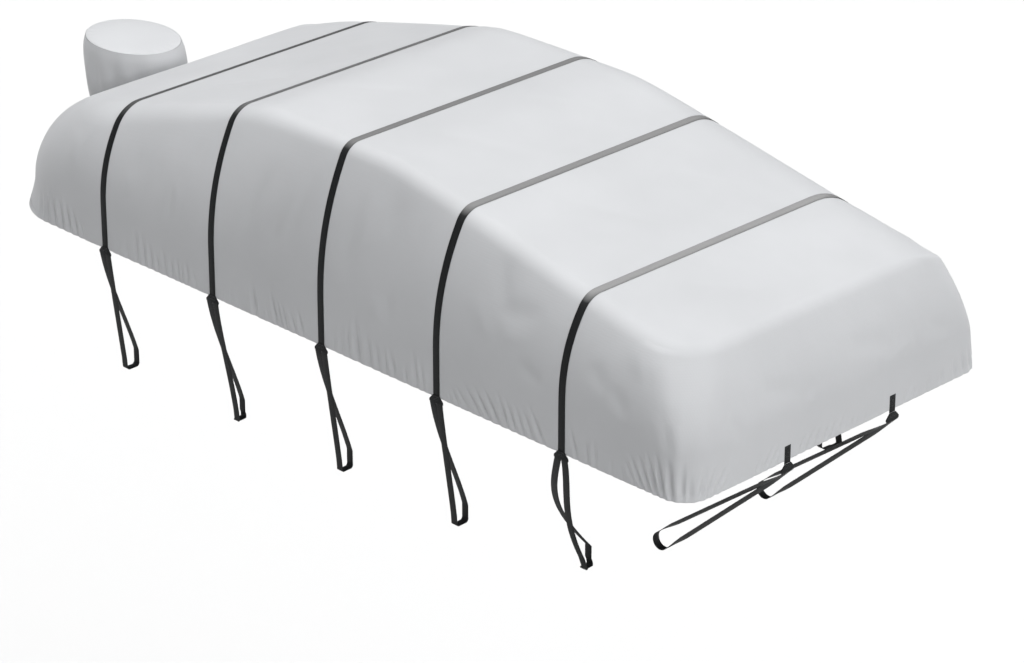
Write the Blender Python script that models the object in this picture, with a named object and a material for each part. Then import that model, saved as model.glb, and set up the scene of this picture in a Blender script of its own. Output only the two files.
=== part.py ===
"""Fitted cover with cross straps, tie loops, bow ties and a separate hood.

Metres, +X to the bow, +Y to port, +Z up.  The origin is the underside of the cloth on the ridge,
over the middle strap: that is where the cover is held up.  Heights in this file are measured up
from the hem, and every object is placed with its hem level at HEM_Z.
"""
import math

import bmesh
import bpy

# ---- cloth ----------------------------------------------------------------------------------
CLOTH = 0.002            # thickness of the coated cloth, hems included
HALF_BEAM = 1.23         # centreline to the side hem
BOW_X = 2.812            # bow hem
STERN_X = -2.945         # stern hem

# ---- top: flat across, two slopes that meet a level ridge --------------------------------------
RIDGE = 1.173            # height of the ridge over the hem
RIDGE_AFT = -0.74        # where the ridge turns down to the stern
RIDGE_FORE = 0.385       # where it turns down to the bow
SLOPE_AFT = 0.262        # fall per metre towards the stern
SLOPE_FORE = 0.199       # fall per metre towards the bow
RIDGE_SOFT = 0.012       # how softly the slopes run into the ridge

# ---- side walls: upright at the hem, then leaning in to a rounded shoulder ----------------------
UPRIGHT = 0.27           # height of the upright band above the hem
# place along X, lean of the wall at the top, power of its curve, radius of the shoulder to
# starboard, to port
SIDE_SECTIONS = [
    (-2.60, 0.12, 3.4, 0.40, 0.45),
    (-1.91, 0.20, 2.2, 0.22, 0.25),
    (-0.94, 0.23, 2.2, 0.16, 0.33),
    (0.00, 0.23, 2.2, 0.12, 0.31),
    (0.94, 0.23, 2.2, 0.14, 0.32),
    (1.90, 0.20, 2.5, 0.15, 0.44),
    (2.60, 0.19, 2.2, 0.17, 0.43),
]
# ---- end walls, as the side walls, and the radius of the upright corners they meet in -----------
# end: x of the hem, way inboard, lean, power, shoulder radius, corner radius at the hem, halfway
# up, and below the shoulder
STERN = (STERN_X, 1.0, 0.528, 1.89, 0.145, 0.478, 0.59, 0.35)
BOW = (BOW_X, -1.0, 0.20, 1.6, 0.125, 0.163, 0.227, 0.29)

# ---- how finely the cover is divided ------------------------------------------------------------
SHOULDER_SOLVES = 12     # rounds that settle where the shoulder's arc meets the wall
UPRIGHT_STEPS = 2
LEAN_STEPS = 5
SHOULDER_STEPS = 4
HALF_CORNER = 3          # round half a corner; its middle is a corner of the top's grid
BAY_STEPS = 3            # between two straps
END_BAY_STEPS = 2        # from the last strap to a corner
BEAM_STEPS = 4           # across, between the corners; an even number
END_COLUMNS = HALF_CORNER + END_BAY_STEPS    # columns of the top's grid aft or fore of all straps

# ---- webbing --------------------------------------------------------------------------------------
WEB = 0.050              # width of all webbing
WEB_THICK = 0.002
GAP = 0.0004             # clearance between pieces that are sewn together
STRAP_X = [-1.91, -0.936, 0.0, 0.939, 1.903]
STRAP_END = 0.010        # height over the hem at which a strap meets its keeper

# keeper: a trapezium of folded webbing, open below, that holds the two ends of a tie
KEEPER_WIDE = 0.106
KEEPER_CORNER = -0.022   # height of its wide corners
KEEPER_FOOT = -0.036     # height of its lower edge
KEEPER_PLY = 0.0016
SLOT_MIDDLE = GAP + KEEPER_PLY + GAP + WEB_THICK / 2.0     # from the cloth to the middle of a tie
TIE_TUCK = 0.014         # length of tie inside the keeper
TIE_STRAIGHT = 0.006     # straight run of a tie below its keeper
LEG_SPREAD = 0.0275      # from the middle of the keeper to the middle of a leg

# tie: one strip from its keeper down, round a loop at its foot, and up again
# per strap, measured from its keeper: front leg's foot (x, inboard), far leg's foot (x, inboard),
# how far the far leg bows aft, and the height of the foot
TIE_ROWS = [
    (-0.008, 0.12, -0.020, 0.22, 0.00, -0.846),
    (0.045, 0.12, -0.020, 0.22, 0.00, -0.846),
    (0.005, 0.12, -0.018, 0.22, 0.00, -0.849),
    (0.014, 0.12, -0.002, 0.22, 0.00, -0.847),
    (0.020, 0.17, -0.050, 0.27, 0.155, -0.779),
]
# handles of a leg's curve, upper and lower: share of the bow aft, of the foot's way inboard, and
# of the leg's height, from the keeper on the upper handle and from the foot on the lower
FAR_HANDLES = ((0.6, 0.20, 0.35), (1.6, 0.75, 0.28))
FRONT_HANDLES = ((0.0, 0.22, 0.30), (0.9, 0.72, 0.35))
LOOP_HIGH = 0.10         # height of the loop at the foot
LOOP_ROUND = 0.022       # radius of its two bends
LEG_STEPS = 5            # along each leg
BEND_STEPS = 3           # round each bend of the loop

# bow ties: a tab sewn on the bow hem, a keeper, and a strip that runs down and aft to a round loop
TAB_Y = 0.434            # each side of the centreline
TAB_HIGH = 0.085
BOW_KEEPER_DROP = 0.030  # how much lower than a side keeper the bow keeper sits
BOW_LOOP_AFT = 0.895     # from the bow hem to the middle of the loop
BOW_LOOP_UP = -0.824     # height of its middle
BOW_LOOP_ROUND = 0.053   # radius of the strip's middle line there
UNDER_TILT = math.radians(42.7)     # slope of the leg that runs under the loop
OVER_TILT = math.radians(37.5)      # slope of the leg that runs over it
BOW_TWIST = math.radians(27.0)      # how far both legs are turned to face forward
BOW_LOOP_STEPS = 8

# ---- hood -------------------------------------------------------------------------------------------
HOOD_X = -3.3602         # centre of its top, so that its front just clears the stern hem
HOOD_Y = 0.235
HOOD_TOP = 0.554
HOOD_LONG = 0.370        # half length of the top along X
HOOD_WIDE = 0.262        # half width
HOOD_TIP = 0.015         # fall of the top per metre towards the stern
HOOD_LEAN = 0.085        # how far the sides lean aft per metre of height
HOOD_AROUND = 32
HOOD_SEAM_IN = 0.0024    # from the outside of the band to the edge of the top panel
# share of the height, share of the top's size: the side band, from hem to seam
HOOD_BAND = [(0.0, 0.88), (0.20, 0.98), (0.40, 1.045), (0.62, 1.070), (0.82, 1.065), (0.95, 1.035),
             (0.99, 0.99)]
# rise over the seam, share of the top's size: the top panel, from seam to middle
HOOD_LID = [(0.0, 0.99), (0.003, 0.78), (0.005, 0.40)]

HEM_Z = CLOTH - RIDGE
SIDES = {"starboard": -1.0, "port": 1.0}


# ---- shape of the cover -------------------------------------------------------------------------
def top_height(x):
    """Height of the top over the hem: the lowest of the ridge and its two slopes, run together."""
    lines = (RIDGE, RIDGE + SLOPE_AFT * (x - RIDGE_AFT), RIDGE - SLOPE_FORE * (x - RIDGE_FORE))
    return -RIDGE_SOFT * math.log(sum(math.exp(-z / RIDGE_SOFT) for z in lines))


def mix(a, b, share):
    return a + (b - a) * share


def through(low, halfway, high, share):
    """Smooth run through three values, at a share of 0, 0.5 and 1."""
    return (low * (1.0 - share) * (1.0 - 2.0 * share) + halfway * 4.0 * share * (1.0 - share)
            + high * share * (2.0 * share - 1.0))


def side_row(x):
    """Lean, power and two shoulder radii of the side walls at x, read between the sections."""
    if x <= SIDE_SECTIONS[0][0]:
        return SIDE_SECTIONS[0][1:]
    for low, high in zip(SIDE_SECTIONS, SIDE_SECTIONS[1:]):
        if x <= high[0]:
            share = (x - low[0]) / (high[0] - low[0])
            return tuple(mix(a, b, share) for a, b in zip(low[1:], high[1:]))
    return SIDE_SECTIONS[-1][1:]


def wall(edge_height, rise, lean, power, radius, t):
    """Inset and height on a wall: t from 0 to 1 up the cloth, 1 to 2 round the shoulder.

    edge_height is the top's height over the hem line and rise its rise per metre inboard.
    """
    span = edge_height + rise * lean - UPRIGHT
    across = math.hypot(1.0, rise)
    meet = edge_height - radius
    for _ in range(SHOULDER_SOLVES):
        share = (meet - UPRIGHT) / span
        tilt = math.atan(lean * power * share ** (power - 1.0) / span)
        centre_in = lean * share ** power + radius * math.cos(tilt)
        centre_up = edge_height + rise * centre_in - radius * across
        meet = centre_up + radius * math.sin(tilt)
    if t <= 1.0:
        up = meet * t
        share = max(0.0, (up - UPRIGHT) / span)
        return lean * share ** power, up
    turn = mix(tilt, math.pi / 2.0 - math.atan(rise), t - 1.0)
    return centre_in - radius * math.cos(turn), centre_up + radius * math.sin(turn)


def side_wall(x, side, t):
    """Inset and height on a side wall at x, level t."""
    lean, power, starboard, port = side_row(x)
    return wall(top_height(x), 0.0, lean, power, port if side > 0.0 else starboard, t)


def end_wall(end, t):
    """Inset and height on an end wall, level t."""
    hem_x, inboard, lean, power, radius = end[:5]
    edge = top_height(hem_x)
    rise = (top_height(hem_x + inboard * lean) - edge) / lean
    return wall(edge, rise, lean, power, radius, t)


def corner(end, side, t):
    """Centre (x, distance from the centreline) and radius of an upright corner, at level t."""
    hem_x, inboard = end[:2]
    end_in, _ = end_wall(end, t)
    radius = through(*end[5:], min(1.0, t))
    if t > 1.0:
        radius -= end_in - end_wall(end, 1.0)[0]
    x = hem_x + inboard * (end_in + radius)
    side_in, _ = side_wall(x, side, t)
    return x, HALF_BEAM - side_in - radius, radius


def corner_height(end, side, turn, t):
    """Share of the top's height at a turn of a corner: from the side's height to the end's."""
    x, _, _ = corner(end, side, t)
    _, side_up = side_wall(x, side, t)
    end_in, end_up = end_wall(end, t)
    end_top = top_height(end[0] + end[1] * end_in)
    return mix(side_up / top_height(x), end_up / end_top, math.sin(turn) ** 2)


def cover_point(place, side, t):
    """Point on the outside of the cover at level t; side is -1 for starboard, 1 for port.

    place is ("side", x), ("bay", end, share) from the last strap to a corner, ("corner", end,
    turn) from 0 at the side to pi/2 at the end, or ("end", end, share) from 0 in the middle of
    the end to 1 at its corner.
    """
    kind = place[0]
    if kind in ("end", "corner"):
        end = place[1]
        turn = place[2] if kind == "corner" else math.pi / 2.0
        reach = place[2] if kind == "end" else 1.0
        x, out, radius = corner(end, side, t)
        x -= end[1] * radius * math.sin(turn)
        out = reach * (out + radius * math.cos(turn))
        return x, side * out, top_height(x) * corner_height(end, side, turn, t)
    x = place[1]
    if kind == "bay":
        end, share = place[1:]
        last = STRAP_X[0] - WEB / 2.0 if end is STERN else STRAP_X[-1] + WEB / 2.0
        x = mix(last, corner(end, side, t)[0], share)
    inset, up = side_wall(x, side, t)
    return x, side * (HALF_BEAM - inset), up


def wall_levels():
    """Levels t of the rings of the wall, from the hem to the edge of the top."""
    low = [UPRIGHT / RIDGE * i / UPRIGHT_STEPS for i in range(UPRIGHT_STEPS)]
    first = UPRIGHT / RIDGE
    middle = [mix(first, 1.0, i / LEAN_STEPS) for i in range(LEAN_STEPS)]
    high = [1.0 + i / SHOULDER_STEPS for i in range(SHOULDER_STEPS + 1)]
    return low + middle + high


def side_places():
    """Places along a side, from the middle of its stern corner to the middle of its bow corner."""
    quarter = math.pi / 4.0
    places = [("corner", STERN, quarter * (1.0 - i / HALF_CORNER)) for i in range(HALF_CORNER + 1)]
    places += [("bay", STERN, 1.0 - i / END_BAY_STEPS) for i in range(1, END_BAY_STEPS)]
    for number, strap_x in enumerate(STRAP_X):
        fore = strap_x + WEB / 2.0
        places += [("side", strap_x - WEB / 2.0), ("side", fore)]
        if strap_x != STRAP_X[-1]:
            bay = STRAP_X[number + 1] - strap_x - WEB
            places += [("side", fore + bay * i / BAY_STEPS) for i in range(1, BAY_STEPS)]
    places += [("bay", BOW, i / END_BAY_STEPS) for i in range(1, END_BAY_STEPS)]
    places += [("corner", BOW, quarter * i / HALF_CORNER) for i in range(HALF_CORNER + 1)]
    return places


def end_places(end):
    """Places across an end between its corners' middles, starboard to port, as (place, side)."""
    quarter = math.pi / 4.0
    turns = [("corner", end, quarter * (1.0 + i / HALF_CORNER)) for i in range(1, HALF_CORNER)]
    half_beam = [("end", end, 1.0 - 2.0 * i / BEAM_STEPS) for i in range(BEAM_STEPS // 2)]
    half = turns + half_beam
    return ([(place, -1.0) for place in half] + [(("end", end, 0.0), 1.0)]
            + [(place, 1.0) for place in reversed(half)])


# ---- meshes ---------------------------------------------------------------------------------------
def material(name, red, green, blue, roughness):
    made = bpy.data.materials.new(name)
    made.use_nodes = True
    shader = made.node_tree.nodes["Principled BSDF"]
    shader.inputs["Base Color"].default_value = (red, green, blue, 1.0)
    shader.inputs["Roughness"].default_value = roughness
    shader.inputs["Metallic"].default_value = 0.0
    return made


def add_object(name, points, faces, finish, smooth=True):
    mesh = bpy.data.meshes.new(name)
    mesh.from_pydata(points, [], faces)
    mesh.materials.append(finish)
    if smooth:
        mesh.shade_smooth()
        mesh.set_sharp_from_angle(angle=math.radians(40.0))
    made = bpy.data.objects.new(name, mesh)
    made.location.z = HEM_Z
    bpy.context.collection.objects.link(made)
    return made


def thicken(shell, thickness):
    """Cloth thickness, grown to the inside of the shape."""
    solid = shell.modifiers.new("cloth", "SOLIDIFY")
    solid.thickness = thickness
    solid.offset = -1.0
    solid.use_even_offset = True
    solid.use_rim = True


def build_cover(finish):
    """One cloth: rings up the wall, closed by a grid over the top that shares the last ring."""
    along, bow, stern = side_places(), end_places(BOW), end_places(STERN)
    ring = ([(place, -1.0) for place in along] + bow
            + [(place, 1.0) for place in reversed(along)] + stern[::-1])
    levels = wall_levels()
    points = [cover_point(place, side, t) for t in levels for place, side in ring]
    faces = ring_faces(len(levels), len(ring))
    top = points[-len(ring):]
    first = len(points) - len(ring)
    columns, rows = len(along), len(bow) + 2
    grid = {}
    for i in range(columns):
        grid[i, 0] = first + i
        grid[i, rows - 1] = first + 2 * columns + len(bow) - 1 - i
    for j in range(1, rows - 1):
        grid[columns - 1, j] = first + columns + j - 1
        grid[0, j] = first + len(ring) - j
    for j in range(1, rows - 1):
        stern_share, stern_bulge = bulge([points[grid[0, row]] for row in (0, j, rows - 1)])
        bow_share, bow_bulge = bulge([points[grid[columns - 1, row]] for row in (0, j, rows - 1)])
        for i in range(1, columns - 1):
            starboard, port = top[i], points[grid[i, rows - 1]]
            share = mix(stern_share, bow_share, i / (columns - 1))
            x = mix(starboard[0], port[0], share)
            x += stern_bulge * max(0.0, 1.0 - i / END_COLUMNS)
            x += bow_bulge * max(0.0, 1.0 - (columns - 1 - i) / END_COLUMNS)
            grid[i, j] = len(points)
            points.append((x, mix(starboard[1], port[1], share), top_height(x)))
    for i in range(columns - 1):
        for j in range(rows - 1):
            faces.append((grid[i, j], grid[i + 1, j], grid[i + 1, j + 1], grid[i, j + 1]))
    thicken(add_object("cover", points, faces, finish), CLOTH)


def bulge(row_points):
    """Share of the way across of a point on an end's edge, and how far it stands off the line
    between the edge's two ends."""
    first, point, last = row_points
    share = (point[1] - first[1]) / (last[1] - first[1])
    return share, point[0] - mix(first[0], last[0], share)


def ring_faces(rings, around):
    """Faces between rings of points that follow each other."""
    faces = []
    for ring in range(rings - 1):
        for i in range(around):
            j = (i + 1) % around
            low, high = ring * around, (ring + 1) * around
            faces.append((low + i, low + j, high + j, high + i))
    return faces


def strip_faces(count):
    """Faces of a strip of square sections, four points each, closed at both ends."""
    last = 4 * (count - 1)
    return [(3, 2, 1, 0)] + ring_faces(count, 4) + [(last, last + 1, last + 2, last + 3)]


def subtract(a, b):
    return tuple(p - q for p, q in zip(a, b))


def cross(a, b):
    return (a[1] * b[2] - a[2] * b[1], a[2] * b[0] - a[0] * b[2], a[0] * b[1] - a[1] * b[0])


def unit(a):
    length = math.sqrt(sum(p * p for p in a))
    return tuple(p / length for p in a)


def outward_faces(mesh_object):
    """Turn all faces of a closed mesh to point out."""
    mesh = mesh_object.data
    shape = bmesh.new()
    shape.from_mesh(mesh)
    bmesh.ops.recalc_face_normals(shape, faces=shape.faces)
    shape.to_mesh(mesh)
    shape.free()


def strap_path(edge_x):
    """Outside of the cover across x = edge_x, from the starboard hem over to the port hem."""
    halves = []
    for side in SIDES.values():
        wall_points = [cover_point(("side", edge_x), side, t) for t in wall_levels()[1:]]
        halves.append([(edge_x, side * HALF_BEAM, STRAP_END)] + wall_points)
    starboard, port = halves
    return starboard + port[::-1]


def directions(path):
    """Direction of a path at each of its points: the mean of the runs that meet there."""
    runs = [unit(subtract(b, a)) for a, b in zip(path, path[1:])]
    means = [unit(tuple(p + q for p, q in zip(a, b))) for a, b in zip(runs, runs[1:])]
    return [runs[0]] + means + [runs[-1]]


def build_strap(number, strap_x, finish):
    """Webbing over the cover from keeper to keeper, a clearance off the cloth."""
    aft, fore = strap_path(strap_x - WEB / 2.0), strap_path(strap_x + WEB / 2.0)
    points = []
    for low, high, along in zip(aft, fore, directions(fore)):
        out = unit(cross(subtract(high, low), along))
        for edge, lift in ((low, GAP), (high, GAP), (high, GAP + WEB_THICK), (low, GAP + WEB_THICK)):
            points.append(tuple(p + n * lift for p, n in zip(edge, out)))
    made = add_object(f"strap_{number}", points, strip_faces(len(aft)), finish)
    outward_faces(made)


def keeper_points(half_top, half_wide, top, shoulder, foot):
    """Outline of a keeper, across and up."""
    return [(-half_top, top), (half_top, top), (half_wide, shoulder), (half_wide, foot),
            (-half_wide, foot), (-half_wide, shoulder)]


def build_keeper(name, origin, across, out, top, drop, finish):
    """Folded webbing: a front and a back ply joined along the top and open below.

    across and out are the directions of its width and of its front face.
    """
    half_top, half_wide = WEB / 2.0, KEEPER_WIDE / 2.0
    shoulder, foot = KEEPER_CORNER - drop, KEEPER_FOOT - drop
    slot_top = foot + TIE_TUCK + GAP
    slot_near = GAP + KEEPER_PLY
    slot_far = slot_near + WEB_THICK + 2.0 * GAP
    front = slot_far + KEEPER_PLY
    slot_half = LEG_SPREAD + WEB / 2.0
    body = closed_prism(name, keeper_points(half_top, half_wide, top, shoulder, foot),
                        GAP, front, origin, across, out, finish)
    cut = closed_prism(name + "_slot", [(-slot_half - WEB, slot_top), (slot_half + WEB, slot_top),
                                        (slot_half + WEB, foot - WEB), (-slot_half - WEB, foot - WEB)],
                       slot_near, slot_far, origin, across, out, finish)
    cut.hide_render = True
    cut.display_type = "WIRE"
    slot = body.modifiers.new("slot", "BOOLEAN")
    slot.operation = "DIFFERENCE"
    slot.solver = "EXACT"
    slot.object = cut


def closed_prism(name, outline, near, far, origin, across, out, finish):
    """A flat outline (across, up) carried from near to far along out."""
    points = []
    for depth in (near, far):
        for a, up in outline:
            points.append((origin[0] + across[0] * a + out[0] * depth,
                           origin[1] + across[1] * a + out[1] * depth, up))
    count = len(outline)
    faces = [tuple(range(count)), tuple(range(2 * count - 1, count - 1, -1))]
    for i in range(count):
        j = (i + 1) % count
        faces.append((i, i + count, j + count, j))
    made = add_object(name, points, faces, finish, smooth=False)
    outward_faces(made)
    return made


def bezier(start, first, second, finish):
    """Smooth run from start to finish, drawn towards the two points between them."""
    path = []
    for step in range(LEG_STEPS + 1):
        s = step / LEG_STEPS
        shares = ((1 - s) ** 3, 3 * s * (1 - s) ** 2, 3 * s * s * (1 - s), s ** 3)
        path.append(tuple(sum(k * p for k, p in zip(shares, values))
                          for values in zip(start, first, second, finish)))
    return path


def leg(top, foot, bow_aft, handles):
    """A leg of a tie from its keeper down to its foot, as (x, inboard, up)."""
    (high_bow, high_in, high_drop), (low_bow, low_in, low_rise) = handles
    tall = top[2] - foot[2]
    return bezier(top,
                  (top[0] - high_bow * bow_aft, high_in * foot[1], top[2] - high_drop * tall),
                  (foot[0] - low_bow * bow_aft, low_in * foot[1], foot[2] + low_rise * tall),
                  foot)


def bend(start_turn, end_turn, centre_in, centre_up):
    """Round bend of a tie's loop, as (inboard, up) points."""
    turns = [mix(start_turn, end_turn, i / BEND_STEPS) for i in range(BEND_STEPS + 1)]
    return [(centre_in + LOOP_ROUND * math.cos(turn), centre_up + LOOP_ROUND * math.sin(turn))
            for turn in turns]


def tie_path(row):
    """Middle line of a tie as (x, inboard, up): down the far leg, round the loop, up the front."""
    front_x, front_in, far_x, far_in, bow_aft, foot = row
    loop_top = foot + LOOP_HIGH
    tuck = KEEPER_FOOT + TIE_TUCK
    start = KEEPER_FOOT - TIE_STRAIGHT
    far = leg((-LEG_SPREAD, 0.0, start), (far_x, far_in, loop_top), bow_aft, FAR_HANDLES)
    quarter = math.pi / 2.0
    corners = (bend(0.0, -quarter, far_in - LOOP_ROUND, foot + LOOP_ROUND)
               + bend(-quarter, -2.0 * quarter, front_in + LOOP_ROUND, foot + LOOP_ROUND))
    loop = [(mix(far_x, front_x, number / (len(corners) - 1)), inboard, up)
            for number, (inboard, up) in enumerate(corners)]
    front = leg((LEG_SPREAD, 0.0, start), (front_x, front_in, foot + 2.0 * LOOP_ROUND), bow_aft,
                FRONT_HANDLES)
    return [(-LEG_SPREAD, 0.0, tuck)] + far + loop + front[::-1] + [(LEG_SPREAD, 0.0, tuck)]


def build_strip(name, path, ways, finish):
    """A strip along a path, its width along ways at each point, thickness centred on the path."""
    points = []
    for centre, way, along in zip(path, ways, directions(path)):
        out = unit(cross(way, along))
        for across, lift in ((-1, -1), (1, -1), (1, 1), (-1, 1)):
            points.append(tuple(
                c + w * across * WEB / 2.0 + n * lift * WEB_THICK / 2.0
                for c, w, n in zip(centre, way, out)))
    made = add_object(name, points, strip_faces(len(path)), finish)
    outward_faces(made)


def build_tie(number, side_name, finish):
    """Keeper and tie at one end of a strap."""
    side = SIDES[side_name]
    strap_x = STRAP_X[number - 1]
    origin = (strap_x, side * HALF_BEAM, 0.0)
    build_keeper(f"keeper_{number}_{side_name}", origin, (1.0, 0.0), (0.0, side),
                 STRAP_END - GAP, 0.0, finish)
    path = [(strap_x + x, side * (HALF_BEAM + SLOT_MIDDLE - inboard), up)
            for x, inboard, up in tie_path(TIE_ROWS[number - 1])]
    build_strip(f"tie_{number}_{side_name}", path, [(1.0, 0.0, 0.0)] * len(path), finish)


def bow_tie_path():
    """Middle line of a bow tie as (aft, across, up), and how far it is twisted at each point."""
    tuck = KEEPER_FOOT - BOW_KEEPER_DROP + TIE_TUCK
    start = KEEPER_FOOT - BOW_KEEPER_DROP - TIE_STRAIGHT
    turns = [mix(-UNDER_TILT, math.pi - OVER_TILT, i / BOW_LOOP_STEPS)
             for i in range(BOW_LOOP_STEPS + 1)]
    loop = [(BOW_LOOP_AFT + BOW_LOOP_ROUND * math.sin(turn), 0.0,
             BOW_LOOP_UP - BOW_LOOP_ROUND * math.cos(turn)) for turn in turns]
    under, over = [], []
    for i in range(LEG_STEPS):
        share = i / LEG_STEPS
        under.append(tuple(mix(a, b, share) for a, b in zip((0.0, LEG_SPREAD, start), loop[0])))
        over.append(tuple(mix(a, b, share) for a, b in zip((0.0, -LEG_SPREAD, start), loop[-1])))
    twists = [0.0, 0.0] + [BOW_TWIST] * (LEG_STEPS - 1)
    path = [(0.0, LEG_SPREAD, tuck)] + under + loop + over[::-1] + [(0.0, -LEG_SPREAD, tuck)]
    return path, twists + [0.0] * len(loop) + twists[::-1]


def build_bow_tie(side_name, finish):
    """Tab sewn up the bow hem, the keeper below it and the tie that runs aft."""
    y = SIDES[side_name] * TAB_Y
    origin = (BOW_X, y, 0.0)
    tab_foot = STRAP_END - BOW_KEEPER_DROP
    outline = [(-WEB / 2.0, TAB_HIGH), (WEB / 2.0, TAB_HIGH), (WEB / 2.0, tab_foot),
               (-WEB / 2.0, tab_foot)]
    closed_prism(f"bow_tab_{side_name}", outline, GAP, GAP + WEB_THICK, origin,
                 (0.0, 1.0), (1.0, 0.0), finish)
    build_keeper(f"bow_keeper_{side_name}", origin, (0.0, 1.0), (1.0, 0.0),
                 tab_foot - GAP, BOW_KEEPER_DROP, finish)
    path, twists = bow_tie_path()
    path = [(BOW_X + SLOT_MIDDLE - aft, y + across, up) for aft, across, up in path]
    tilt = (UNDER_TILT + OVER_TILT) / 2.0
    ways = [(math.sin(turn) * math.sin(tilt), math.cos(turn), -math.sin(turn) * math.cos(tilt))
            for turn in twists]
    build_strip(f"bow_tie_{side_name}", path, ways, finish)


def hood_ring(up, size, rise=0.0):
    """Ring of the hood at a share of its height, scaled by size: an oval that leans aft."""
    height = HOOD_TOP * up
    shift = HOOD_LEAN * (HOOD_TOP - height)
    ring = []
    for i in range(HOOD_AROUND):
        turn = 2.0 * math.pi * i / HOOD_AROUND
        x = HOOD_LONG * size * math.cos(turn)
        y = HOOD_WIDE * size * math.sin(turn)
        ring.append((HOOD_X + shift + x, HOOD_Y + y, height + rise + HOOD_TIP * x * up))
    return ring


def build_hood(finish):
    """Side band, open below, and the top panel that a seam joins to it."""
    around = HOOD_AROUND
    band = [point for up, size in HOOD_BAND for point in hood_ring(up, size)]
    faces = ring_faces(len(HOOD_BAND), around)
    made = add_object("hood_band", band, faces, finish)
    thicken(made, CLOTH)
    shrink = HOOD_SEAM_IN / HOOD_WIDE
    seam_up = HOOD_BAND[-1][0]
    lid = [point for rise, size in HOOD_LID
           for point in hood_ring(seam_up, size - shrink, rise)]
    faces = ring_faces(len(HOOD_LID), around)
    centre = hood_ring(seam_up, 0.0, HOOD_LID[-1][0])[0]
    lid.append(centre)
    last = (len(HOOD_LID) - 1) * around
    faces += [(last + i, last + (i + 1) % around, len(lid) - 1) for i in range(around)]
    made = add_object("hood_top", lid, faces, finish)
    thicken(made, CLOTH)


def main():
    for leftover in list(bpy.data.objects):
        bpy.data.objects.remove(leftover)
    cloth = material("coated_polyester_grey", 0.42, 0.43, 0.44, 0.62)
    webbing = material("polypropylene_webbing_black", 0.012, 0.013, 0.014, 0.70)
    build_cover(cloth)
    for number, strap_x in enumerate(STRAP_X, start=1):
        build_strap(number, strap_x, webbing)
        for side_name in SIDES:
            build_tie(number, side_name, webbing)
    for side_name in SIDES:
        build_bow_tie(side_name, webbing)
    build_hood(cloth)


main()
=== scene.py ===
"""Looks of a fitted cover: coated cloth drawn over a ridged top, cross straps, ties and a small hood.

Metres, +X to the bow, +Y to port, +Z up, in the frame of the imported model.  Heights called "up" are
measured from the cover's hem, which lies level at HEM_Z.
"""
import math
import random

import bmesh
import bpy
import numpy as np
from bpy.props import FloatProperty, FloatVectorProperty, PointerProperty
from mathutils import Matrix, Vector


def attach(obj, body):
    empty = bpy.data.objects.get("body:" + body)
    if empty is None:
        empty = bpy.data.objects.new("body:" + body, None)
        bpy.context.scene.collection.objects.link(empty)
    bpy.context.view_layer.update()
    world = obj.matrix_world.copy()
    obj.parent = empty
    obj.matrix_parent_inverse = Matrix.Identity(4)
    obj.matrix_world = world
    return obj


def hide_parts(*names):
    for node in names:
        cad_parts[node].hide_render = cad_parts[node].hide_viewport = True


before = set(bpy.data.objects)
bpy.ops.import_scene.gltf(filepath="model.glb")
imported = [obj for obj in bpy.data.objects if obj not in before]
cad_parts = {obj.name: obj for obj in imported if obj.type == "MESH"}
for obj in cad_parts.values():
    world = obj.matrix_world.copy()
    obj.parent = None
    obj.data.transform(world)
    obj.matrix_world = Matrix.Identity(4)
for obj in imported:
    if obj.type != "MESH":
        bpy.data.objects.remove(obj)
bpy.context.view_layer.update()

bl_info = {
    "name": "Fitted Cover Looks",
    "version": (1, 0, 0),
    "blender": (4, 5, 0),
    "location": "3D View > Sidebar > Cover",
    "description": "Builds the cloth, webbing, hood and studio of a fitted cover",
    "category": "Object",
}

# ---- cover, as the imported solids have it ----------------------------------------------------
HALF_BEAM = 1.23         # half the width at the hem
BOW_X = 2.812
STERN_X = -2.945
RIDGE = 1.173            # height of the level middle part of the top
HEM_Z = 0.002 - RIDGE    # height of the hem in the frame
RIDGE_AFT = -0.74        # the top falls away aft of here
RIDGE_FORE = 0.385       # and forward of here
SLOPE_AFT = 0.262
SLOPE_FORE = 0.199
RIDGE_SOFT = 0.012       # how softly the top turns from level to falling
UPRIGHT = 0.27           # height up to which a wall stands upright
# place along X, lean, power of the wall's curve, shoulder radius to starboard, to port
SIDE_SECTIONS = [
    (-2.60, 0.12, 3.4, 0.40, 0.45),
    (-1.91, 0.20, 2.2, 0.22, 0.25),
    (-0.94, 0.23, 2.2, 0.16, 0.33),
    (0.00, 0.23, 2.2, 0.12, 0.31),
    (0.94, 0.23, 2.2, 0.14, 0.32),
    (1.90, 0.20, 2.5, 0.15, 0.44),
    (2.60, 0.19, 2.2, 0.17, 0.43),
]
# x of the hem, way inboard, lean, power, shoulder radius, corner radius at hem, halfway, top
STERN = (STERN_X, 1.0, 0.528, 1.89, 0.145, 0.478, 0.59, 0.35)
BOW = (BOW_X, -1.0, 0.20, 1.6, 0.125, 0.163, 0.227, 0.29)
SHOULDER_SOLVES = 12
STRAP_X = [-1.91, -0.936, 0.0, 0.939, 1.903]
SIDES = {"starboard": -1.0, "port": 1.0}

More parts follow.
